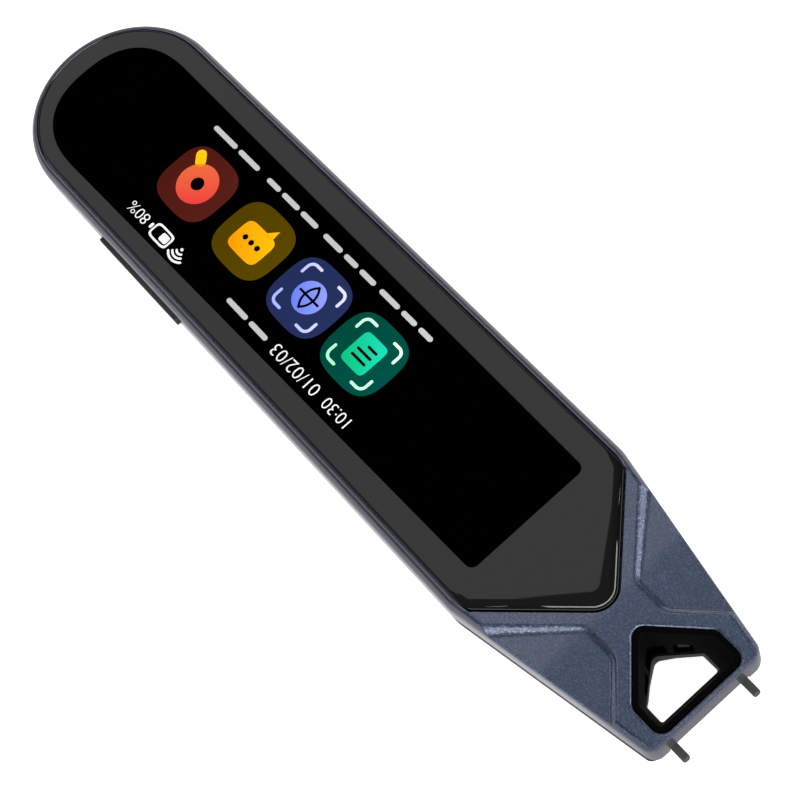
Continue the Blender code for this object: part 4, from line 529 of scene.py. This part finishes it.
cut(upper_case, [prism(rounded(*KEY_HOLE, KEY_MIDDLE), -HALF_WIDTH - PAST, -HALF_WIDTH + KEY_DEEP, 1),
                 prism(rounded(*PORT_HOLE, PORT_MIDDLE), TAIL_X - PAST, TAIL_X + PORT_DEEP, 0),
                 prism(rounded(*SOUND_HOLE, TAIL_SOUND), TAIL_X - PAST, TAIL_X + TAIL_SOUND_DEEP, 0),
                 prism(rounded(*SOUND_HOLE, SIDE_SOUND), HALF_WIDTH - SIDE_SOUND_DEEP, HALF_WIDTH + PAST, 1),
                 prism(rounded(*FRONT_HOLE, FRONT_MIDDLE), FRONT_FLOOR_X, NOSE_X + PAST, 0)], CASE_SMOOTH)
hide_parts("upper_case")
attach(upper_case, "pen")


# Rear cover
# The shell under the pen, moulded in dark ABS from a spark-etched tool, so it is dull and finely grained. It
# holds the screw bosses and the sound holes, and shows as a dark line below the blue-grey case.
CAD_MERGE, CAD_FLAT, CAD_EDGE = 1e-6, 0.5, 35.0
ROUGH_SPREAD = 0.15


def textured(name, dark, light, grain, relief=0.0, pattern="ShaderNodeTexNoise", output="Fac",
             stretch=(1, 1, 1), **sockets):
    """A finish whose colour and roughness wander between two tones with a grain in millimetres, and whose
    surface rises and falls with the same grain by `relief` millimetres."""
    material, tree, shader = finish(name, light, **sockets)
    place = add(tree, "ShaderNodeTexCoord").outputs["Object"]
    sized = add(tree, "ShaderNodeMapping", {"Vector": place, "Scale": stretch}).outputs["Vector"]
    grey = add(tree, pattern, {"Vector": sized, "Scale": 1 / (grain * MM)}).outputs[output]
    tone = add(tree, "ShaderNodeMix", {0: grey, 6: linear(dark), 7: linear(light)},
               data_type="RGBA").outputs[2]
    tree.links.new(tone, shader.inputs["Base Color"])
    rough = shader.inputs["Roughness"].default_value
    gloss = add(tree, "ShaderNodeMapRange", {"Value": grey, "To Min": rough * (1 - ROUGH_SPREAD),
                                             "To Max": min(1.0, rough * (1 + ROUGH_SPREAD))})
    tree.links.new(gloss.outputs["Result"], shader.inputs["Roughness"])
    if relief:
        bump = add(tree, "ShaderNodeBump", {"Height": grey, "Distance": relief * MM, "Strength": 1.0})
        tree.links.new(bump.outputs["Normal"], shader.inputs["Normal"])
    return material


def dressed(node, material, body="pen", round_edge=0.0, steps=3):
    """A copy of a CAD node in its place, with loose triangles merged into whole faces and edges rounded."""
    mesh = nodes[node].data.copy()
    mesh.name = node + "_finished"
    bm = bmesh.new()
    bm.from_mesh(mesh)
    bmesh.ops.remove_doubles(bm, verts=bm.verts, dist=CAD_MERGE)
    bmesh.ops.dissolve_limit(bm, angle_limit=math.radians(CAD_FLAT), verts=bm.verts, edges=bm.edges)
    bm.to_mesh(mesh)
    bm.free()
    mesh.materials.clear()
    mesh.materials.append(material)
    mesh.shade_smooth()
    mesh.set_sharp_from_angle(angle=math.radians(CAD_EDGE))
    piece = bpy.data.objects.new(node + "_finished", mesh)
    bpy.context.scene.collection.objects.link(piece)
    if round_edge:
        bevel = piece.modifiers.new("round_edge", "BEVEL")
        bevel.width = round_edge * MM
        bevel.segments = steps
        bevel.limit_method = "ANGLE"
        bevel.angle_limit = math.radians(CAD_EDGE)
        bevel.use_clamp_overlap = True
        bevel.harden_normals = True
    else:
        even = piece.modifiers.new("even_shading", "WEIGHTED_NORMAL")
        even.keep_sharp = True
    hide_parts(node)
    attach(piece, body)
    return piece


etched = textured("spark_etched_abs", "#161618", "#26262A", 0.25, 0.004, Roughness=0.55)
dressed("rear_cover", etched)


# Window lining
# A black funnel pressed into the window of the nose, moulded dull so that it throws no light into the camera.
# Its lower end carries the scan slot and the ports of the camera and of the scan lights.
dull_black = textured("matt_moulded_black", "#020202", "#050506", 0.3, 0.003, Roughness=0.85,
                      Specular_IOR_Level=0.08)
dressed("window_liner", dull_black)


# Screen glass
# Toughened glass with a black printed back. Along the arrow its rim is ground to a slope that mirrors the
# dark studio. The thin line of light on the polished radius round its outer edge is a painted highlight: a
# pale strip laid along the rim.
GLASS_TOP, GLASS_LOW, FOOT_INSET, GLASS_SMOOTH = 12.12, 11.1, 3.0, 30.0
POLISH, POLISH_TURN, POLISH_ROWS = 0.34, 74.0, 9
SLOPE_WIDTH, SLOPE_DROP, SLOPE_START_X, SLOPE_RUN, SIDE_SLOPE = 1.35, 0.42, 40.0, 4.0, 0.06
# The rings of the slope: how far each lies in from the rim, and how far below the top.
SLOPE_INSETS = (0.25, 0.45, 0.7, SLOPE_WIDTH - 0.12, SLOPE_WIDTH - 0.03, SLOPE_WIDTH + 0.1, 3.0, 7.0)
SLOPE_DROPS = (0.43, 0.33, 0.23, 0.035, 0.008, 0.0, 0.0, 0.0)
MORE_BEFORE, MORE_GAPS = 4.0, (0.4, 0.2)
ARROW_LINE_X, ARROW_INSET, TAIL_LINE_X, TAIL_INSET, TAIL_DROPS = 44.3, 0.42, -74.0, 0.2, (0.048, 0.028)
LINE_WIDTH, LINE_SUNK, LINE_PROUD, LINE_POINTS, LINE_SWELL, LINE_LEAST = 0.15, 0.1, 0.02, 3000, 8, 0.02
TAIL_LINE_START = 60


def mirrored_body(name, half_rings, materials, smooth):
    """A closed body that is the same on both sides of y = 0: rings of one half outline with their heights,
    from the inside of the foot round to the inside of the top, are carried from tail to nose and mirrored."""
    half = np.stack([raised(ring, z) for ring, z in half_rings])
    grid = np.concatenate([half, half[::-1] * (1, -1, 1)])
    faces = strip_faces(*grid.shape[:2]).reshape(-1, 4)
    return mesh_piece(name, grid.reshape(-1, 3), faces, materials, smooth)


def glass_ring(inset, drop):
    """Half of the glass's outline moved inward, and its heights: the top, less an even drop and the slope's
    drop, which is full along the arrow and slight elsewhere. Two more points on the side carry the change."""
    ring = upper_side(outline(GLASS, -inset))
    side = np.flatnonzero(ring[:, 0] < 0).max()
    more = np.minimum([SLOPE_START_X - MORE_BEFORE, SLOPE_START_X], ring[side + 1, 0] - np.array(MORE_GAPS))
    ring = np.insert(ring, side + 1, np.stack([more, np.full(2, ring[side, 1])], 1), axis=0)
    arrow = SIDE_SLOPE + (1 - SIDE_SLOPE) * step(ring[:, 0] - SLOPE_START_X, SLOPE_RUN)
    return ring, GLASS_TOP - drop[0] - drop[1] * arrow


# Polished glass over black print: deep black, with sharp reflections.
cover_glass = textured("black_printed_glass", "#040404", "#060607", 40.0, Roughness=0.02, IOR=1.5,
                       Coat_Weight=0.0)
polish = [glass_ring(POLISH * (1 - math.cos(rise)), (POLISH - POLISH * math.sin(rise), SLOPE_DROP))
          for rise in np.linspace(0, math.radians(POLISH_TURN), POLISH_ROWS)]
slope = [glass_ring(inset, (0.0, drop)) for inset, drop in zip(SLOPE_INSETS[1:], SLOPE_DROPS[1:])]
foot = [(glass_ring(inset, (0.0, 0.0))[0], GLASS_LOW) for inset in (FOOT_INSET, 0.0)]
screen_glass = mirrored_body("screen_glass_ground", foot + polish + slope, [cover_glass], GLASS_SMOOTH)
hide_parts("screen_glass")
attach(screen_glass, "pen")

# Painted highlight: a pale matt strip along the rim stands in for the line of light on the glass's polished
# edge.
painted_highlight = textured("painted_glass_edge_highlight", "#A2A2A2", "#C4C4C4", 0.6, Roughness=0.35,
                        Specular_IOR_Level=0.6)


def painted_highlight_line(name, inset, from_x, to_x, drops, start=0):
    """A painted highlight: a thin pale matt line along the rim of the glass. It is a four-cornered section
    carried along part of the outline, its width swelling from both ends, with its inner and outer edge at
    their own drop below the top."""
    path = spaced(np.roll(outline(GLASS, -inset), start, 0), np.linspace(0, 1, LINE_POINTS))[0]
    path = path[(path[:, 0] > from_x) & (path[:, 0] < to_x)]
    ahead = np.gradient(path, axis=0)
    inward = np.stack([-ahead[:, 1], ahead[:, 0]], 1) / np.linalg.norm(ahead, axis=1)[:, None]
    along = np.linspace(0, 1, len(path))
    swell = np.clip(np.minimum(along, 1 - along) * LINE_SWELL, LINE_LEAST, 1)
    inner = path + inward * (LINE_WIDTH * swell)[:, None]
    outer_z, inner_z = GLASS_TOP - np.array(drops)
    grid = np.stack([raised(path, outer_z - LINE_SUNK), raised(path, outer_z + LINE_PROUD),
                     raised(inner, inner_z + LINE_PROUD), raised(inner, inner_z - LINE_SUNK)])
    first_end = np.arange(4) * len(path)
    faces = [*strip_faces(*grid.shape[:2]).reshape(-1, 4), first_end, first_end + len(path) - 1]
    line = mesh_piece(name, grid.reshape(-1, 3), faces, [painted_highlight])
    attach(line, "pen")


arrow_drops = np.interp([ARROW_INSET, ARROW_INSET + LINE_WIDTH], SLOPE_INSETS, SLOPE_DROPS)
painted_highlight_line("glass_highlight_arrow", ARROW_INSET, ARROW_LINE_X, GLASS_TIP_X, arrow_drops)
painted_highlight_line("glass_highlight_tail", TAIL_INSET, TAIL_X, TAIL_LINE_X, TAIL_DROPS, start=TAIL_LINE_START)


# Picture on the screen
# The lit display seen through the glass: a black field that gives no reflection in the photograph's light,
# four coloured tiles with plain signs, plain bars for words, and figures for the time, date and charge.
FIELD_LOW, FIELD_TOP, TILE_TOP, SIGN_TOP, MARK_TOP = 12.10, 12.14, 12.16, 12.18, 12.198
LAYERS = (FIELD_TOP, TILE_TOP, SIGN_TOP, MARK_TOP)
FIELD_NOSE, FIELD_TAIL, FIELD_BEND, FIELD_CORNER, FIELD_POWER = 39.2, -71.3, 12.9, 1.3, 2.4
FIELD_NOSE_HALF, FIELD_TAIL_HALF, FIELD_TAIL_MIDDLE, FIELD_POINTS, DOT_SIZE = 10.75, 12.1, -0.5, 61, 0.11
TILE_SIZE, TILE_POWER, TILE_Y, TILE_GLOW, TILE_RUN = (6.1, 5.85), 3.2, -0.15, 0.62, 12.0
TILES = {"green": (2.55, "#004034", "#005044"), "blue": (-10.85, "#1E2850", "#262F5A"),
         "amber": (-24.95, "#473700", "#574400"), "red": (-39.75, "#44140E", "#551E18")}
MARK_GLOW, DARK_GLOW, SIGN_RUN, CAP_POINTS = 0.8, 0.05, 7.0, 7
BRACKET_REACH, BRACKET_ROUND, BRACKET_ARM, BRACKET_WIDTH = 4.3, 1.1, 1.1, 0.5
FIGURE_EXTRUDE, FIGURE_OFFSET, FIGURE_STEPS = 0.004, -0.014, 3
LABEL_Y, STATUS_Y, CHARGE_Y, WORD_HEIGHT = 8.3, -9.2, -9.9, 0.85
WORDS = [(8.0, 5.9), (4.3, 1.9), (0.3, -3.3), (-5.4, -8.1), (-9.7, -11.9), (-13.5, -17.0), (-19.6, -22.7),
         (-24.3, -27.5), (-29.1, -31.4), (-34.6, -38.9), (-40.5, -45.5)]
DAYS = [(-10.6, -14.0), (-15.6, -19.7)]


def screen_light(name, low, high, glow, across=(1.0, 0.0), middle=(0.0, 0.0), length=8.0):
    """Lit colour on the display. It shades from one colour to the other along a direction, in millimetres."""
    material, tree, shader = finish(name, high, Roughness=0.6, Specular_IOR_Level=0.0, Emission_Strength=glow)
    shader.inputs["Emission Color"].default_value = [(a + b) / 2 for a, b in zip(linear(low), linear(high))]
    place = add(tree, "ShaderNodeTexCoord").outputs["Object"]
    run = add(tree, "ShaderNodeVectorMath", {0: place, 1: (*across, 0.0)},
              operation="DOT_PRODUCT").outputs["Value"]
    start = (middle[0] * across[0] + middle[1] * across[1] - length / 2) * MM
    share = add(tree, "ShaderNodeMapRange",
                {"Value": run, "From Min": start, "From Max": start + length * MM}).outputs["Result"]
    tone = add(tree, "ShaderNodeMix", {0: share, 6: linear(low), 7: linear(high)},
               data_type="RGBA").outputs[2]
    tree.links.new(tone, shader.inputs["Base Color"])
    return material


def film(name, shapes, low, high, material):
    """Flat closed outlines given a small thickness, each with a cap at both ends, joined in one piece."""
    body = joined([prism(shape, low, high, 2) for shape in shapes])
    piece = mesh_piece(name, *body, [material], merge=1e-9)
    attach(piece, "pen")


def bent(shape, middle, turn=180.0):
    """A shape in reading order turned about its own origin by degrees and put at its place on the screen."""
    c, s = math.cos(math.radians(turn)), math.sin(math.radians(turn))
    x, y = np.asarray(shape, float).T
    return np.stack([middle[0] + x * c - y * s, middle[1] + x * s + y * c], 1)


def squircle(half_x, half_y, power, count=72):
    """|x/a|^n + |y/b|^n = 1, read at even angles."""
    angle = np.linspace(0, 2 * math.pi, count, endpoint=False)
    c, s = np.cos(angle), np.sin(angle)
    reach = (np.abs(c) ** power + np.abs(s) ** power) ** (-1 / power)
    return np.stack([half_x * c * reach, half_y * s * reach], 1)


def stroke(path, width):
    """A line of even width with round ends: each point of its path moved to both sides by half the width."""
    path = np.asarray(path, float)
    ahead = np.gradient(path, axis=0)
    ahead /= np.linalg.norm(ahead, axis=1)[:, None]
    aside = np.stack([-ahead[:, 1], ahead[:, 0]], 1)
    side = aside * width / 2
    turn = np.linspace(-math.pi / 2, math.pi / 2, CAP_POINTS)[1:-1, None]
    cap_end = path[-1] + (ahead[-1] * np.cos(turn) + aside[-1] * np.sin(turn)) * width / 2
    cap_start = path[0] - (ahead[0] * np.cos(turn) + aside[0] * np.sin(turn)) * width / 2
    return np.vstack([path - side, cap_end, (path + side)[::-1], cap_start])


def arc(radius, start, end, count, middle=(0.0, 0.0)):
    """Part of a circle from one angle to another, in degrees, at even steps."""
    angle = np.radians(np.linspace(start, end, count))
    return np.stack([middle[0] + radius * np.cos(angle), middle[1] + radius * np.sin(angle)], 1)


def bar(start, end, y, height):
    """A plain bar with round ends, from one x to another."""
    return stroke([(start, y), ((start + end) / 2, y), (end, y)], height)


def places_of(mesh):
    """The place of every vertex of a mesh, as one array."""
    places = np.zeros(len(mesh.vertices) * 3)
    mesh.vertices.foreach_get("co", places)
    return places.reshape(-1, 3)


def figures(name, text, tall, middle, width, material):
    """Plain figures: flat text made a mesh, turned to read toward the tail, and set by its middle."""
    curve = bpy.data.curves.new(name, "FONT")
    curve.body = text
    curve.align_x, curve.align_y = "CENTER", "CENTER"
    curve.extrude, curve.offset, curve.resolution_u = FIGURE_EXTRUDE, FIGURE_OFFSET, FIGURE_STEPS
    guide = bpy.data.objects.new(name, curve)
    bpy.context.scene.collection.objects.link(guide)
    bpy.context.view_layer.update()
    mesh = bpy.data.meshes.new_from_object(guide.evaluated_get(bpy.context.evaluated_depsgraph_get()))
    bpy.data.objects.remove(guide, do_unlink=True)
    points = places_of(mesh)
    points[:, :2] -= (points[:, :2].max(0) + points[:, :2].min(0)) / 2
    points[:, 0] *= -width / np.ptp(points[:, 0])
    points[:, 1] *= -tall / np.ptp(points[:, 1])
    points[:, 2] = np.where(points[:, 2] > 0, MARK_TOP, FIELD_TOP)
    points[:, :2] += middle
    mesh.vertices.foreach_set("co", (points * MM).ravel())
    mesh.materials.append(material)
    piece = bpy.data.objects.new(name, mesh)
    bpy.context.scene.collection.objects.link(piece)
    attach(piece, "pen")


# An unlit display under its polariser: black that gives nothing back, with a trace of its dots.
black_field, tree, shader = finish("unlit_display_black", "#000000", Roughness=1.0, Specular_IOR_Level=0.0)
dots = add(tree, "ShaderNodeTexChecker", {"Vector": add(tree, "ShaderNodeTexCoord").outputs["Object"],
                                          "Scale": 1 / (DOT_SIZE * MM), "Color1": linear("#000000"),
                                          "Color2": linear("#020202")})
tree.links.new(dots.outputs["Color"], shader.inputs["Base Color"])
tail_turn = np.linspace(math.pi / 2, 3 * math.pi / 2, FIELD_POINTS)
c, s = np.cos(tail_turn), np.sin(tail_turn)
tail_end = np.stack([FIELD_TAIL + FIELD_BEND - FIELD_BEND * np.abs(c) ** (2 / FIELD_POWER),
                     FIELD_TAIL_MIDDLE + FIELD_TAIL_HALF * np.sign(s) * np.abs(s) ** (2 / FIELD_POWER)], 1)
corner_x, corner_y = FIELD_NOSE - FIELD_CORNER, FIELD_NOSE_HALF - FIELD_CORNER
nose_end = np.vstack([arc(FIELD_CORNER, -90, 0, ROUND_POINTS, (corner_x, -corner_y)),
                      arc(FIELD_CORNER, 0, 90, ROUND_POINTS, (corner_x, corner_y))])
film("display_field", [np.vstack([tail_end, nose_end])], FIELD_LOW, FIELD_TOP, black_field)

for colour, (x, low_tone, high_tone) in TILES.items():
    tile_light = screen_light(f"tile_light_{colour}", low_tone, high_tone, TILE_GLOW, middle=(x, 0),
                              length=TILE_RUN)
    shape = bent(squircle(*TILE_SIZE, TILE_POWER), (x, TILE_Y))
    film(f"tile_{colour}", [shape], FIELD_TOP, TILE_TOP, tile_light)

white_light = screen_light("mark_white", "#D8D8D8", "#E6E6E6", MARK_GLOW)
dark_light = screen_light("sign_dark", "#020202", "#060606", DARK_GLOW)


def brackets(reach, corner, arm, width):
    """Four corner brackets round a middle: an arm, a quarter circle and an arm, turned four times."""
    centre = reach - corner
    line = np.vstack([[(reach, centre - arm)], arc(corner, 0, 90, ROUND_POINTS, (centre, centre)),
                      [(centre - arm, reach)]])
    return [bent(stroke(line, width), (0, 0), turn) for turn in (0, 90, 180, 270)]


def sign(name, shapes, tile, layer, *light, turn=180.0, across=(0.7, 0.7)):
    """A sign on its tile: shapes in reading order, a layer of the picture, and the light that fills them."""
    x = TILES[tile][0]
    shapes = [bent(shape, (x, TILE_Y), turn) for shape in shapes]
    material = screen_light(name + "_light", *light, across, (x, 0), SIGN_RUN) if light else dark_light
    film(name, shapes, LAYERS[layer], LAYERS[layer + 1], material)


corner_marks = brackets(BRACKET_REACH, BRACKET_ROUND, BRACKET_ARM, BRACKET_WIDTH)
sign("sign_green_brackets", corner_marks, "green", 1, "#7FE8AE", "#E6F9EF", 0.7)
sign("sign_green_page", [squircle(2.55, 2.95, 7.0)], "green", 1, "#05B950", "#22E6CF", 0.45)
sign("sign_green_lines", [bar(-1.4, end, y, 0.45) for end, y in ((1.4, 1.2), (1.4, 0.0), (0.3, -1.2))],
     "green", 2)
sign("sign_blue_brackets", corner_marks, "blue", 1, "#7C8AF0", "#E4E7FB", 0.7)
sign("sign_blue_disc", [squircle(2.8, 2.8, 2.0)], "blue", 1, "#3F6DFB", "#A9B0FC", 0.45)
sign("sign_blue_lines", [bar(-2.1, 2.1, 0.0, 0.4), stroke(arc(2.8, -50, 50, 15, (-1.85, 0)), 0.4),
                         stroke(arc(2.8, 130, 230, 15, (1.85, 0)), 0.4)], "blue", 2)
bubble = [bent(squircle(3.4, 2.8, 5.0), (0, 0.45), 0), np.array([(-2.2, -1.9), (-0.2, -1.9), (-2.0, -3.9)])]
sign("sign_amber_bubble", bubble, "amber", 1, "#FF8A06", "#FACC0B", 0.5)
sign("sign_amber_dots", [bent(squircle(0.48, 0.48, 2.0, 20), (x, 0.45), 0) for x in (-1.5, 0.0, 1.5)],
     "amber", 2)
sign("sign_red_disc", [squircle(3.6, 3.6, 2.0, 90)], "red", 1, "#F02A40", "#F07A40", 0.42, turn=200.0,
     across=(-0.7, 0.7))
sign("sign_red_middle", [squircle(1.15, 1.15, 2.0, 60)], "red", 2, turn=200.0)
sign("sign_red_handle", [stroke([(2.8, -2.8), (3.3, -3.3), (3.75, -3.75)], 1.8)],
     "red", 1, "#FFB400", "#FFC61C", 0.6)

word_bars = [bar(*ends, y, WORD_HEIGHT) for y, row in ((LABEL_Y, WORDS), (STATUS_Y, DAYS)) for ends in row]
grey_light = screen_light("mark_grey", "#A9A9A9", "#B8B8B8", MARK_GLOW)
film("word_bars", word_bars, FIELD_TOP, MARK_TOP, grey_light)
figures("clock_figures", "10:30", 1.95, (6.75, STATUS_Y), 5.4, white_light)
figures("date_figures", "01/02/03", 2.1, (-3.1, STATUS_Y), 10.6, white_light)
figures("charge_figures", "80%", 1.9, (-42.9, -9.95), 4.6, white_light)
waves = [stroke(arc(radius, 45, 135, 13), 0.36) for radius in (0.85, 1.55, 2.25)]
waves.append(squircle(0.26, 0.26, 2.0, 16))
film("radio_waves", [bent(shape, (-32.3, -9.1)) for shape in waves], FIELD_TOP, MARK_TOP, white_light)
film("charge_case", [bent(squircle(2.2, 1.4, 5.0, 48), (-36.8, CHARGE_Y)),
                     bent(squircle(0.25, 0.5, 4.0, 16), (-39.5, CHARGE_Y))], FIELD_TOP, TILE_TOP, white_light)
film("charge_hollow", [bent(squircle(1.85, 1.05, 5.0, 48), (-36.8, CHARGE_Y))],
     TILE_TOP, SIGN_TOP, dark_light)
film("charge_filling", [bent(squircle(0.85, 0.72, 7.0, 24), (-36.0, CHARGE_Y))],
     SIGN_TOP, MARK_TOP, white_light)


# Camera and scan lights
# The reading camera sits behind the window's point: a black holder, a lens barrel, a small board with its
# flex, and a clear plate before it. A strip of emitters under smoked plastic, dark while it is off, stands
# behind each slanted wall of the lining.


def repaint(material, slot, *names):
    """Gives CAD nodes whose shape is right a better material, in place of the ones they have. The slot is not
    used.
    """
    for name in names:
        nodes[name].data.materials.clear()
        nodes[name].data.materials.append(material)


# Clear acrylic shows the lens behind it, and the nylon of the holder is dull and even. The lens's coating
# leaves a faint violet sheen, smoked windows look black while they are off, solder mask is a deep glossy
# green, and polyimide is amber with streaks along it.
clear_acrylic = textured("clear_acrylic", "#F4F6F6", "#FFFFFF", 8.0, Roughness=0.04,
                         Transmission_Weight=1.0, IOR=1.49)
holder_black = textured("glass_filled_nylon", "#0C0C0D", "#17171A", 0.2, 0.003, Roughness=0.6)
lens_coat = textured("coated_lens_barrel", "#08070C", "#15101F", 1.5, Roughness=0.12, Coat_Weight=0.6)
emitter = textured("smoked_emitter_windows", "#0B0A07", "#14120C", 0.5, Roughness=0.5)
solder_mask = textured("solder_masked_board", "#06301C", "#0D4A2C", 0.7, 0.01, pattern="ShaderNodeTexVoronoi",
                       output="Distance", Roughness=0.35)
flex = textured("polyimide_flex", "#7A3E0A", "#A65C14", 0.35, stretch=(0.04, 1, 1), Roughness=0.35)
dressed("camera_lens", lens_coat, round_edge=0.08)
repaint(holder_black, "black_liner", "camera_holder")
repaint(clear_acrylic, "clear_cover", "lens_cover")
repaint(emitter, "pale_plastic", "scan_light_left", "scan_light_right")


# Trigger
# A nylon fork whose two ends are the feet in front of the nose. Pressing them on the page slides the fork
# back against two wire springs and closes the switch behind its crossbar. A spring can't give way here, so
# each is drawn from its fixed end at the length that the pressed fork leaves it, 0.95 of the CAD's.
PRESSED_LENGTH = 0.95
# Moulded nylon is dull mid grey, drawn wire shines, and tinned sheet steel is pale with faint rolling marks.
foot_nylon = textured("moulded_grey_nylon", "#565754", "#646561", 0.3, 0.004, Roughness=0.5)
spring_steel = textured("drawn_spring_wire", "#7C7C80", "#B9BABD", 0.2, Metallic=1.0, Roughness=0.25)
pressed_steel = textured("tinned_pressed_steel", "#9A9CA0", "#C6C8CB", 0.6, 0.002, stretch=(0.1, 1, 1),
                         Metallic=1.0, Roughness=0.32)
dressed("trigger_fork", foot_nylon, "trigger", round_edge=0.4, steps=5)
for side in ("left", "right"):
    spring = dressed("trigger_spring_" + side, spring_steel)
    points = places_of(spring.data)
    fixed_end = points[:, 0].min()
    points[:, 0] = fixed_end + (points[:, 0] - fixed_end) * PRESSED_LENGTH
    spring.data.vertices.foreach_set("co", points.ravel())
repaint(pressed_steel, "pressed_steel", "trigger_switch", "side_switch", "display_tray", "shield_can",
        "radio_module", "nose_microphone", "tail_microphone")


# Side key
# A long key of dark ABS in the right-hand wall. It stands a little proud, and a flange inside keeps it in.
# ABS from a finely etched mould: charcoal, with a soft sheen.
key_abs = textured("moulded_charcoal_abs", "#2E2F2F", "#3B3C3C", 0.3, 0.003, Roughness=0.4)
dressed("side_key", key_abs, "key", round_edge=0.22)


# Boards, battery, speaker and port
# Bought-in parts inside the closed case: green glass-fibre boards, chips in moulded epoxy, a foil pouch cell
# on a foam pad, tinned shields and frames, polyimide flexes, and a steel charge port round a black tongue.
# Moulded epoxy is flat dark grey, foam tape and woven mesh are dull black, and the polariser is glossy black.
# The pouch foil is crinkled silver, open foam is cream with pores, nylon is ivory, and the leads are smooth.
epoxy = textured("moulded_epoxy", "#101112", "#1C1D1F", 0.25, 0.003, Roughness=0.55)
tape = textured("acrylic_foam_tape", "#0B0B0B", "#151515", 0.2, 0.01, Roughness=0.85)
panel = textured("display_polariser", "#050506", "#0A0A0C", 6.0, Roughness=0.15)
foil = textured("laminated_pouch_foil", "#8F9194", "#B8BABD", 5.0, 0.03, Metallic=0.85, Roughness=0.38)
foam = textured("open_cell_foam", "#B9B4A6", "#DAD6CB", 0.3, 0.05, pattern="ShaderNodeTexVoronoi",
                output="Distance", Roughness=0.95)
nylon = textured("natural_nylon", "#D6D2C4", "#E8E5DA", 0.6, Roughness=0.5)
lead_black = textured("extruded_vinyl_black", "#0A0A0A", "#161616", 0.3, Roughness=0.5)
lead_red = textured("extruded_vinyl_red", "#8E0C0C", "#B01414", 0.3, Roughness=0.5)
rubber = textured("silicone_rubber", "#1B1B1C", "#262627", 0.3, 0.004, Roughness=0.85)
cloth = textured("woven_dust_mesh", "#050505", "#1C1C1C", 0.2, 0.02, pattern="ShaderNodeTexChecker",
                 Roughness=0.8)
repaint(solder_mask, "board", "main_board", "port_board", "camera_board")
repaint(epoxy, "chip", "processor_chip", "memory_chip", "power_chip", "trigger_switch_stem",
        "side_switch_stem", "speaker")
repaint(flex, "flex", "display_flex", "camera_flex", "side_key_flex", "board_ribbon", "antenna")
repaint(panel, "display", "display_panel")
repaint(tape, "tape", "screen_tape")
repaint(foil, "cell_wrap", "battery_cell")
repaint(foam, "pad_foam", "battery_pad")
repaint(nylon, "pale_plastic", "battery_plug")
repaint(lead_black, "lead_black", "battery_lead_minus")
repaint(lead_red, "lead_red", "battery_lead_plus")
repaint(rubber, "gasket_rubber", "speaker_gasket")
repaint(cloth, "mesh_cloth", "speaker_mesh")
dressed("charge_port_shell", pressed_steel, round_edge=0.06, steps=2)
dressed("charge_port_tongue", epoxy, round_edge=0.08, steps=2)


# Case screws
# Four self-tapping screws, zinc plated black, in counterbores of the rear cover.
# Black zinc on steel: a dark metal with a soft shine.
black_zinc = textured("black_zinc_steel", "#26272A", "#3C3E42", 0.3, Metallic=1.0, Roughness=0.35)
for number in (1, 2, 3, 4):
    dressed(f"case_screw_{number}", black_zinc, round_edge=0.08, steps=2)
